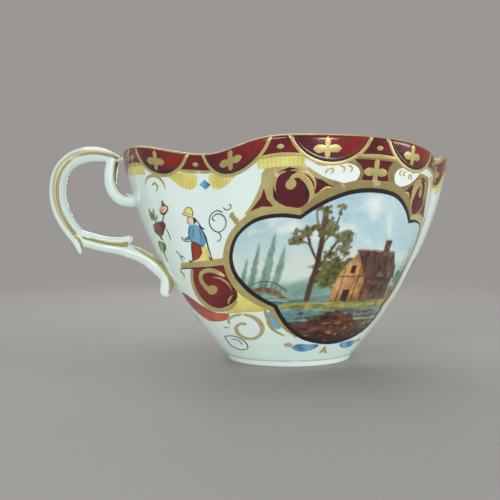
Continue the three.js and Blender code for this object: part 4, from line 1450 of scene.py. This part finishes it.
hat = [(-46.8, 43.7), (-46.7, 44.4), (-46.2, 45.0), (-45.3, 45.4), (-44.5, 45.0), (-44.2, 44.2),
       (-44.2, 43.3), (-45.4, 43.4)]
coat = [(-44.5, 40.7), (-43.2, 41.2), (-41.9, 40.9), (-40.8, 39.6), (-39.7, 38.2), (-39.3, 36.8),
        (-39.7, 35.7), (-41.0, 36.0), (-42.4, 36.6), (-43.6, 36.6), (-44.4, 38.2), (-44.5, 39.6)]
apron = [(-43.1, 36.5), (-41.7, 36.3), (-40.2, 35.2), (-39.8, 33.8), (-40.2, 32.4), (-41.2, 31.5),
         (-42.1, 31.1), (-42.5, 32.8), (-43.0, 34.8)]
breeches = [(-40.4, 35.5), (-38.9, 35.4), (-37.3, 32.6), (-36.2, 31.8), (-40.9, 31.3), (-40.4, 32.4),
            (-40.05, 33.8)]
knoll = [(-42.2, 30.8), (-40.4, 31.8), (-38.4, 32.7), (-36.2, 32.6), (-34.4, 32.4), (-38.0, 31.2)]
bud = [(-54.6, 43.6), (-54.0, 44.6), (-52.8, 44.9), (-51.7, 44.4), (-52.1, 43.3), (-53.1, 42.5),
       (-54.2, 42.8)]
fruit = [(-57.8, 39.2), (-56.3, 40.0), (-54.7, 40.4), (-53.3, 40.4), (-52.4, 39.6), (-52.9, 38.2),
         (-53.7, 36.8), (-54.8, 36.5), (-56.9, 37.1), (-57.8, 38.1)]
low_leaf = [(-56.3, 34.9), (-54.1, 34.9), (-52.8, 34.5), (-52.6, 33.2), (-53.9, 31.7), (-55.3, 32.1),
            (-56.2, 33.4)]
ring = [(-37.6, 42.3), (-38.6, 43.0), (-37.4, 44.0), (-35.4, 43.4), (-34.4, 42.0), (-34.5, 40.4),
        (-36.2, 39.5), (-38.4, 40.6), (-39.3, 42.3), (-38.9, 44.1), (-37.2, 44.8), (-35.6, 44.2)]
draw(figure_flats, [
    ("yellow", blot(knoll), 0.3),
    ("yellow", blot(breeches), lambda x, y: 0.3 + 0.2 * (x + 39)),
    ("coral", blot(apron), lambda x, y: 0.85 + 0.3 * np.abs(x + 41.2)),
    ("blue", blot(coat), lambda x, y: 0.1 + 0.16 * np.abs(x + 42.2)),
    ("skin", oval(-44.35, 42.05, 0.95, 1.0), 0.4), ("skin", oval(-46.1, 37.0, 0.45, 0.35), 0.6),
    ("yellow", blot(hat, 0.3), lambda x, y: 0.1 - 0.2 * (x + 45.2)),
    ("red", blot(fruit), lambda x, y: 0.05 + 0.16 * np.hypot(x + 55.6, (y - 38.8) * 1.5)),
    ("skin", blot(bud), lambda x, y: 0.6 - 0.5 * (x + 53)),
    ("green", blot(low_leaf), lambda x, y: 0.3 + 0.35 * np.abs(x + 54.6)),
], [
    ("yellow", [(-47.1, 43.7), (-45.8, 43.4), (-43.9, 43.1)], [0.3, 0.6, 0.4]),
    ("blue", [(-44.2, 37.8), (-44.8, 37.0), (-45.7, 36.9)], [1.0, 0.9, 0.5]),
    ("red", [(-54.9, 37.0), (-54.5, 36.0), (-53.6, 35.4)], [1.5, 0.8, 0.4]),
    ("green", [(-59.6, 43.5), (-58.9, 42.0), (-58.2, 40.3)], [0.4, 1.4, 0.5]),
    ("green", [(-57.5, 43.6), (-57.2, 42.0), (-56.9, 40.2)], [0.3, 1.3, 0.5]),
    ("green", [(-55.6, 42.1), (-56.0, 41.2), (-56.5, 40.2)], [0.3, 0.9, 0.3]),
    ("green", [(-53.1, 42.6), (-53.2, 41.5), (-53.8, 40.3)], [0.5]),
    ("green", [(-53.8, 46.1), (-53.6, 45.4), (-53.3, 44.7)], [0.3, 1.0, 1.5]),
    ("green", [(-54.0, 31.9), (-53.2, 30.4), (-52.6, 29.2)], [0.8, 0.5, 0.4]),
    ("green", [(-46.8, 15.0), (-45.0, 12.6), (-42.8, 10.6)], [0.3, 1.0, 0.3]),
    ("pen", [(-47.1, 43.5), (-45.6, 43.1), (-43.8, 42.9)], [0.18]),
    ("pen", [(-46.7, 44.2), (-46.2, 45.0), (-45.3, 45.4), (-44.5, 45.0), (-44.1, 44.2), (-44.0, 43.2)],
     [0.12, 0.18, 0.24]),
    ("pen", [(-46.6, 44.0), (-45.4, 43.8), (-44.3, 43.7)], [0.12]),
    ("pen", [(-43.8, 42.9), (-43.2, 42.2), (-43.4, 41.3)], [0.6, 0.8, 0.4]),
    ("pen", [(-45.2, 42.9), (-45.4, 41.9), (-44.9, 41.2), (-44.4, 41.0)], [0.18]),
    ("pen", [(-44.95, 42.3), (-44.8, 42.33), (-44.62, 42.3)], [0.14]),
    ("pen", [(-44.95, 41.55), (-44.8, 41.5), (-44.6, 41.53)], [0.12]),
    ("pen", [(-43.1, 42.6), (-42.0, 41.5), (-41.1, 40.5), (-40.2, 40.2)], [0.2, 0.25, 0.3, 0.4]),
    ("pen", [(-41.9, 41.0), (-39.7, 38.3), (-38.5, 35.6), (-36.8, 32.3)], [0.2, 0.34, 0.34, 0.2]),
    ("pen", [(-44.5, 40.8), (-44.6, 39.6), (-44.4, 38.2), (-43.7, 36.6)], [0.24]),
    ("pen", [(-43.3, 36.5), (-43.1, 34.8), (-42.6, 32.8), (-42.2, 31.0)], [0.26]),
    ("pen", [(-43.7, 36.6), (-41.7, 36.2), (-39.7, 35.4)], [0.24]),
    ("pen", [(-43.4, 40.5), (-43.1, 39.0), (-43.4, 37.3)], [0.1, 0.16, 0.1]),
    ("pen", [(-41.8, 40.2), (-41.0, 38.6), (-40.7, 36.6)], [0.1, 0.16, 0.1]),
    ("pen", [(-46.7, 37.4), (-46.0, 36.6), (-45.2, 36.3), (-43.8, 36.4)], [0.2]),
    ("pen", [(-42.2, 31.0), (-43.0, 30.8), (-43.5, 31.0)], [0.4]),
    ("pen", [(-37.8, 33.0), (-37.2, 32.3), (-36.4, 32.0)], [0.35]),
    ("pen", ring, [0.24]),
    ("pen", [(-36.2, 39.5), (-35.3, 38.4), (-35.6, 37.3), (-36.4, 37.2)], [0.22]),
    ("pen", [(-35.7, 45.4), (-34.8, 44.7), (-33.6, 44.7), (-33.5, 45.5), (-34.2, 45.8)], [0.2]),
    ("pen", [(-57.9, 39.4), (-57.9, 38.2), (-56.9, 37.1), (-55.0, 36.4), (-54.0, 35.5)], [0.22]),
    ("pen", [(-53.2, 40.5), (-52.4, 39.6), (-52.9, 38.2), (-53.6, 36.8)], [0.24]),
    ("pen", [(-56.9, 40.2), (-55.8, 38.6), (-55.4, 36.9)], [0.18]),
    ("pen", [(-54.6, 40.4), (-53.9, 38.9), (-54.2, 37.2)], [0.18]),
    ("pen", [(-52.0, 38.7), (-51.0, 37.4), (-50.3, 36.0)], [0.22]),
    ("pen", bud[1:] + bud[:1], [0.45, 0.3, 0.4, 0.55, 0.35]),
    ("pen", [(-53.9, 45.6), (-53.4, 44.9), (-52.5, 44.9)], [0.3]),
    ("pen", [(-58.2, 42.6), (-57.8, 41.4), (-57.4, 40.4)], [0.2, 0.3, 0.2]),
    ("pen", [(-52.7, 34.4), (-52.6, 33.2), (-53.9, 31.7), (-53.2, 30.2), (-52.6, 29.2)], [0.24]),
    ("pen", [(-48.2, 33.0), (-46.6, 32.0), (-45.6, 30.4)], [0.2]),
    ("pen", [(-46.8, 31.2), (-45.9, 31.9), (-44.9, 31.2)], [0.2]),
    ("gilt", [(-60.6, 49.2), (-59.9, 50.8), (-57.6, 51.8), (-55.0, 51.5), (-53.2, 49.9), (-52.8, 49.0)],
     [0.3, 0.7, 0.8, 0.8, 0.6, 0.3]),
    ("gilt", [(-57.6, 49.4), (-56.6, 50.0), (-55.5, 49.2), (-56.1, 47.9)], [0.6, 0.6, 0.5, 0.3]),
])
figure_finishes = {"blue": (sky_blue, "blue_enamel"), "red": (iron_red, "red_enamel"),
                   "coral": (coral, "red_enamel"), "yellow": (straw, "yellow_enamel"),
                   "green": (leaf_green, "green_enamel"), "skin": (skin_tint, "picture_enamel"),
                   "pen": (pen_black, "dark_enamel"), "gilt": (gilding, "gilding")}
for colour, (finish, slot) in figure_finishes.items():
    lay("figures_" + colour, figure_flats[colour], finish, slot, front_and_back)

bunch_flats = {colour: Flat() for colour in ("blue", "red", "yellow", "green", "gilt")}
stems = [[(0, 31), (0.4, 36), (-0.6, 42.5)], [(0.2, 32), (-2.2, 36), (-4.6, 39.5)],
         [(0.2, 32), (2.6, 36.5), (4.4, 41)], [(0, 31), (-2.8, 32.6), (-5.6, 34.4)],
         [(0, 31), (3.0, 32.8), (6.0, 35.2)]]
draw(bunch_flats, [], [("green", stem, [0.5, 0.35, 0.25]) for stem in stems])
ledge = [(-8.6, 29.4), (-4.0, 30.3), (0, 30.6), (4.0, 30.3), (8.6, 29.4)]
draw(bunch_flats, [], [("gilt", ledge, [1.4, 1.8, 1.4])])
bunch_leaves = ((-1.6, 36.2, 60), (1.9, 38.2, -50), (-3.4, 35.2, 100), (3.6, 35.0, -100), (0.9, 40.2, -30),
                (-4.6, 32.6, 110))
for x, y, lean in bunch_leaves:
    draw(bunch_flats, [("green", oval(x, y, 0.6, 1.5, lean), 0.5)], [])
blossoms = ((-0.6, 43.4, 1.5, "red"), (-4.9, 40.3, 1.25, "blue"), (4.7, 41.8, 1.3, "yellow"),
            (-6.1, 34.8, 1.0, "red"), (6.5, 35.7, 1.1, "blue"), (0.5, 38.0, 1.2, "yellow"))
petal_turns = np.linspace(0.3, 0.3 + 2 * math.pi, 5, endpoint=False)
for x, y, size, colour in blossoms:
    for k, turn in enumerate(petal_turns):
        petal = oval(x + size * 0.75 * math.cos(turn), y + size * 0.75 * math.sin(turn), size * 0.62,
                     size * 0.5, math.degrees(turn))
        bunch_flats[colour].patch(petal, yellow_relief + overlap * k, wash=0.35 + 0.12 * k, grain=0.5)
for colour, drawing in bunch_flats.items():
    lay("bunch_" + colour, drawing, *figure_finishes[colour], [(-1, 1)])

# Handle gilding
# Gilt lines follow the ridges of the handle on both faces, run down the spur, along the groove under the
# tongue and down the tail. They were put on with a fine brush and have worn to a brown line in places.
wash_relief = 0.04
line_relief = 0.07
wash_offset = 0.75
ray_reach = 0.02
ray_length = 0.1
edge_hover = 0.0006
handle_gilt = Flat()
loop_line = np.array(scrolls[0][0][:9])
loop_middle = loop_line.mean(axis=0)
loop_way = loop_line - loop_middle
loop_wash = loop_middle + loop_way * (1 + wash_offset / np.linalg.norm(loop_way, axis=1, keepdims=True))
handle_lines = [
    (loop_wash, [0.3, 0.7, 0.9, 1.0, 1.0, 1.0, 0.9, 0.7, 0.3], wash_relief, 0.12),
    (loop_line, [0.6, 0.5, 0.55, 0.6, 0.7, 0.7, 0.6, 0.6, 0.8], line_relief, 0.85),
    ([meeting, (52.3, 29.8), (51.9, 28.2)], [0.7, 0.7, 0.4], line_relief, 0.65),
    ([(52.0, 31.0), (49.9, 30.5), (46.3, 29.6), (42.4, 29.2), (40.9, 29.4)],
     [0.5, 0.7, 0.7, 0.8, 1.5], line_relief, 0.75),
    ([(39.8, 28.6), (36.4, 26.6), (34.0, 25.0), (32.2, 22.9), (30.9, 20.8), (30.6, 18.7), (30.9, 16.9)],
     [0.3, 0.7, 0.9, 1.0, 1.1, 1.3, 1.0], line_relief, 0.4),
    ([(43.7, 49.6), (44.1, 47.6), (44.2, 45.6), (43.6, 43.6), (42.3, 41.7), (40.8, 41.0)],
     [0.9, 0.7, 0.7, 0.7, 0.6, 0.3], line_relief, 0.7),
]
for path, widths, relief, rubbed in handle_lines:
    place = [(axis_x - out, height) for out, height in path]
    handle_gilt.stroke(place, widths, relief, wash=rubbed, spacing=0.3)
gilding_line = Shaping("lay on the handle", Handle="Object", Reach="Float", Hover="Float",
                       Material="Material")
across, along, out = gilding_line.xyz(gilding_line.node("GeometryNodeInputPosition").outputs[0])
face_sense = gilding_line.attribute("centre")


def beside(distance):
    """The place of a point this far out from the handle's middle plane, on the side of its own face."""
    out_there = face_sense * gilding_line.size(distance) * -1
    place = {"X": across * face_sense * mm, "Y": out_there, "Z": along * mm}
    return gilding_line.node("ShaderNodeCombineXYZ", place).outputs[0]


ray_way = gilding_line.node("ShaderNodeCombineXYZ", {"Y": face_sense}).outputs[0]
ground = gilding_line.node("GeometryNodeObjectInfo", {"Object": gilding_line.given.outputs["Handle"]},
                           transform_space="RELATIVE").outputs["Geometry"]
struck = gilding_line.node("GeometryNodeRaycast",
                           {"Target Geometry": ground, "Source Position": beside("Reach"),
                            "Ray Direction": ray_way, "Ray Length": ray_length})
edge_start = beside("Hover")


def on_handle(struck_value, field):
    """A value of the handle's surface where the ray meets it, or at its nearest edge where it goes by."""
    nearest = gilding_line.node("GeometryNodeSampleNearestSurface",
                                {"Mesh": ground, "Value": gilding_line.node(field).outputs[0],
                                 "Sample Position": edge_start}, data_type="FLOAT_VECTOR")
    chosen = gilding_line.node("GeometryNodeSwitch",
                               {"Switch": struck.outputs["Is Hit"], "False": nearest.outputs["Value"],
                                "True": struck.outputs[struck_value]}, input_type="VECTOR")
    return chosen.outputs[0]


lifted = gilding_line.node("ShaderNodeVectorMath", {0: on_handle("Hit Normal", "GeometryNodeInputNormal"),
                                                    "Scale": out * mm}, operation="SCALE")
met = on_handle("Hit Position", "GeometryNodeInputPosition")
line_place = gilding_line.node("ShaderNodeVectorMath", {0: met, 1: lifted.outputs[0]}, operation="ADD")
lined = gilding_line.node("GeometryNodeSetPosition", {"Geometry": gilding_line.given.outputs["Mesh"],
                                                      "Position": line_place.outputs[0]})
gilding_tree = gilding_line.end(lined.outputs[0])
handle_lines_piece = handle_gilt.piece("handle_gilding", [(1, 1), (-1, -1)])
shape(handle_lines_piece, gilding_tree, Handle=handle, Reach=ray_reach, Hover=edge_hover, Material=gilding)
handle_lines_piece.data.set_sharp_from_angle(angle=sharp_fold)
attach(handle_lines_piece, "root")

# Floor, light and camera
# A pale grey studio sweep under soft boxes. The floor takes the cup's shadow and fades into the flat
# grey of the background, and the camera stands where the photograph was taken.
sweep_grey = srgb(155, 151, 148)
paper_greys = (srgb(164, 160, 156), srgb(170, 166, 162))
bounce_white = srgb(243, 241, 237)
fibre_scale = 900.0
floor_radius = 1.2
floor_steps = 96
shadow_reach = (0.10, 0.30)
room_tint = (0.95, 0.98, 1.0)
room_strength = 0.60
floor_rings = [(0, 0), (shadow_reach[1], 0), (floor_radius, 0)]
floor_verts, floor_faces = turned(floor_rings, floor_steps, closed=False)
studio_floor = make_piece("studio_floor", floor_verts, [face[::-1] for face in floor_faces])
paper = Finish("grey paper", Roughness=0.9, Specular_IOR_Level=0.1)
paper_tree = paper.tree
fibre = paper.node("ShaderNodeTexNoise", {"Vector": paper.place(), "Scale": fibre_scale})
paper_grey = paper.mix(Field(paper_tree, fibre.outputs["Fac"]), *paper_greys)
# Diffuse rays see the paper near white, so it throws extra bounced light up onto the cup from below, while
# the camera and reflections see it grey.
bounced = Field(paper_tree, paper.node("ShaderNodeLightPath").outputs["Is Diffuse Ray"])
paper.dress(Base_Color=paper.mix(bounced, paper_grey, bounce_white))
from_cup = paper.node("ShaderNodeVectorMath", {0: paper.place()}, operation="LENGTH").outputs["Value"]
far_share = Field(paper_tree, from_cup).between(*shadow_reach)
flat = paper.node("ShaderNodeEmission", {"Color": (*sweep_grey, 1)})
paper_mix = paper.node("ShaderNodeMixShader", {0: far_share, 1: paper.shader.outputs[0], 2: flat.outputs[0]})
paper_tree.links.new(paper_mix.outputs[0], paper_tree.nodes["Material Output"].inputs["Surface"])
studio_floor.data.materials.append(paper.material)

world = bpy.data.worlds.new("studio")
world.use_nodes = True
bpy.context.scene.world = world
sky = world.node_tree
seen = sky.nodes.new("ShaderNodeLightPath")
shown = Field(sky, seen.outputs["Is Camera Ray"])
shown = shown.math("MAXIMUM", shown, Field(sky, seen.outputs["Is Glossy Ray"]))
shown = shown.math("MAXIMUM", shown, Field(sky, seen.outputs["Is Transmission Ray"]))
room_light = sky.nodes["Background"]
room_light.inputs["Color"].default_value = (*room_tint, 1)
room_light.inputs["Strength"].default_value = room_strength
backdrop = sky.nodes.new("ShaderNodeBackground")
backdrop.inputs["Color"].default_value = (*sweep_grey, 1)
world_mix = sky.nodes.new("ShaderNodeMixShader")
sky.links.new(shown.socket, world_mix.inputs[0])
sky.links.new(room_light.outputs[0], world_mix.inputs[1])
sky.links.new(backdrop.outputs[0], world_mix.inputs[2])
sky.links.new(world_mix.outputs[0], sky.nodes["World Output"].inputs["Surface"])

cup_middle = Vector((axis_x, 0, lip_height / 2)) * mm
soft_boxes = [("key_box", (-0.42, -0.52, 0.30), 0.20, 0.95), ("front_box", (0.02, -0.64, 0.04), 0.13, 1.35),
              ("fill_box", (0.65, -0.25, 0.14), 0.26, 1.3), ("top_box", (0.05, 0.20, 0.75), 0.45, 0.8),
              ("back_box", (0.05, 0.62, 0.42), 0.30, 0.7), ("low_back_box", (0.10, 0.64, 0.07), 0.13, 0.9)]
for label, place, box_size, watts in soft_boxes:
    lamp = bpy.data.lights.new(label, "AREA")
    lamp.shape = "SQUARE"
    lamp.size = box_size
    lamp.energy = watts
    box = bpy.data.objects.new(label, lamp)
    box.location = place
    box.rotation_euler = (cup_middle - Vector(place)).to_track_quat("-Z", "Y").to_euler()
    bpy.context.scene.collection.objects.link(box)

photo_pixels = 500
focal_pixels = 775.18
camera_turn = math.radians(-15)
camera_distance = 201.46
camera_height = 33.57
principal_x, principal_y = 288.86, 226.88
camera = bpy.data.objects.new("camera", bpy.data.cameras.new("camera"))
camera.data.lens = camera.data.sensor_width * focal_pixels / photo_pixels
camera.data.shift_x = 0.5 - principal_x / photo_pixels
camera.data.shift_y = principal_y / photo_pixels - 0.5
camera.data.clip_start = 0.01
camera.location = Vector((axis_x + camera_distance * math.sin(camera_turn),
                          -camera_distance * math.cos(camera_turn), camera_height)) * mm
camera.rotation_euler = (math.pi / 2, 0, camera_turn)
bpy.context.scene.collection.objects.link(camera)
bpy.context.scene.camera = camera
bpy.context.scene.view_settings.view_transform = "Standard"
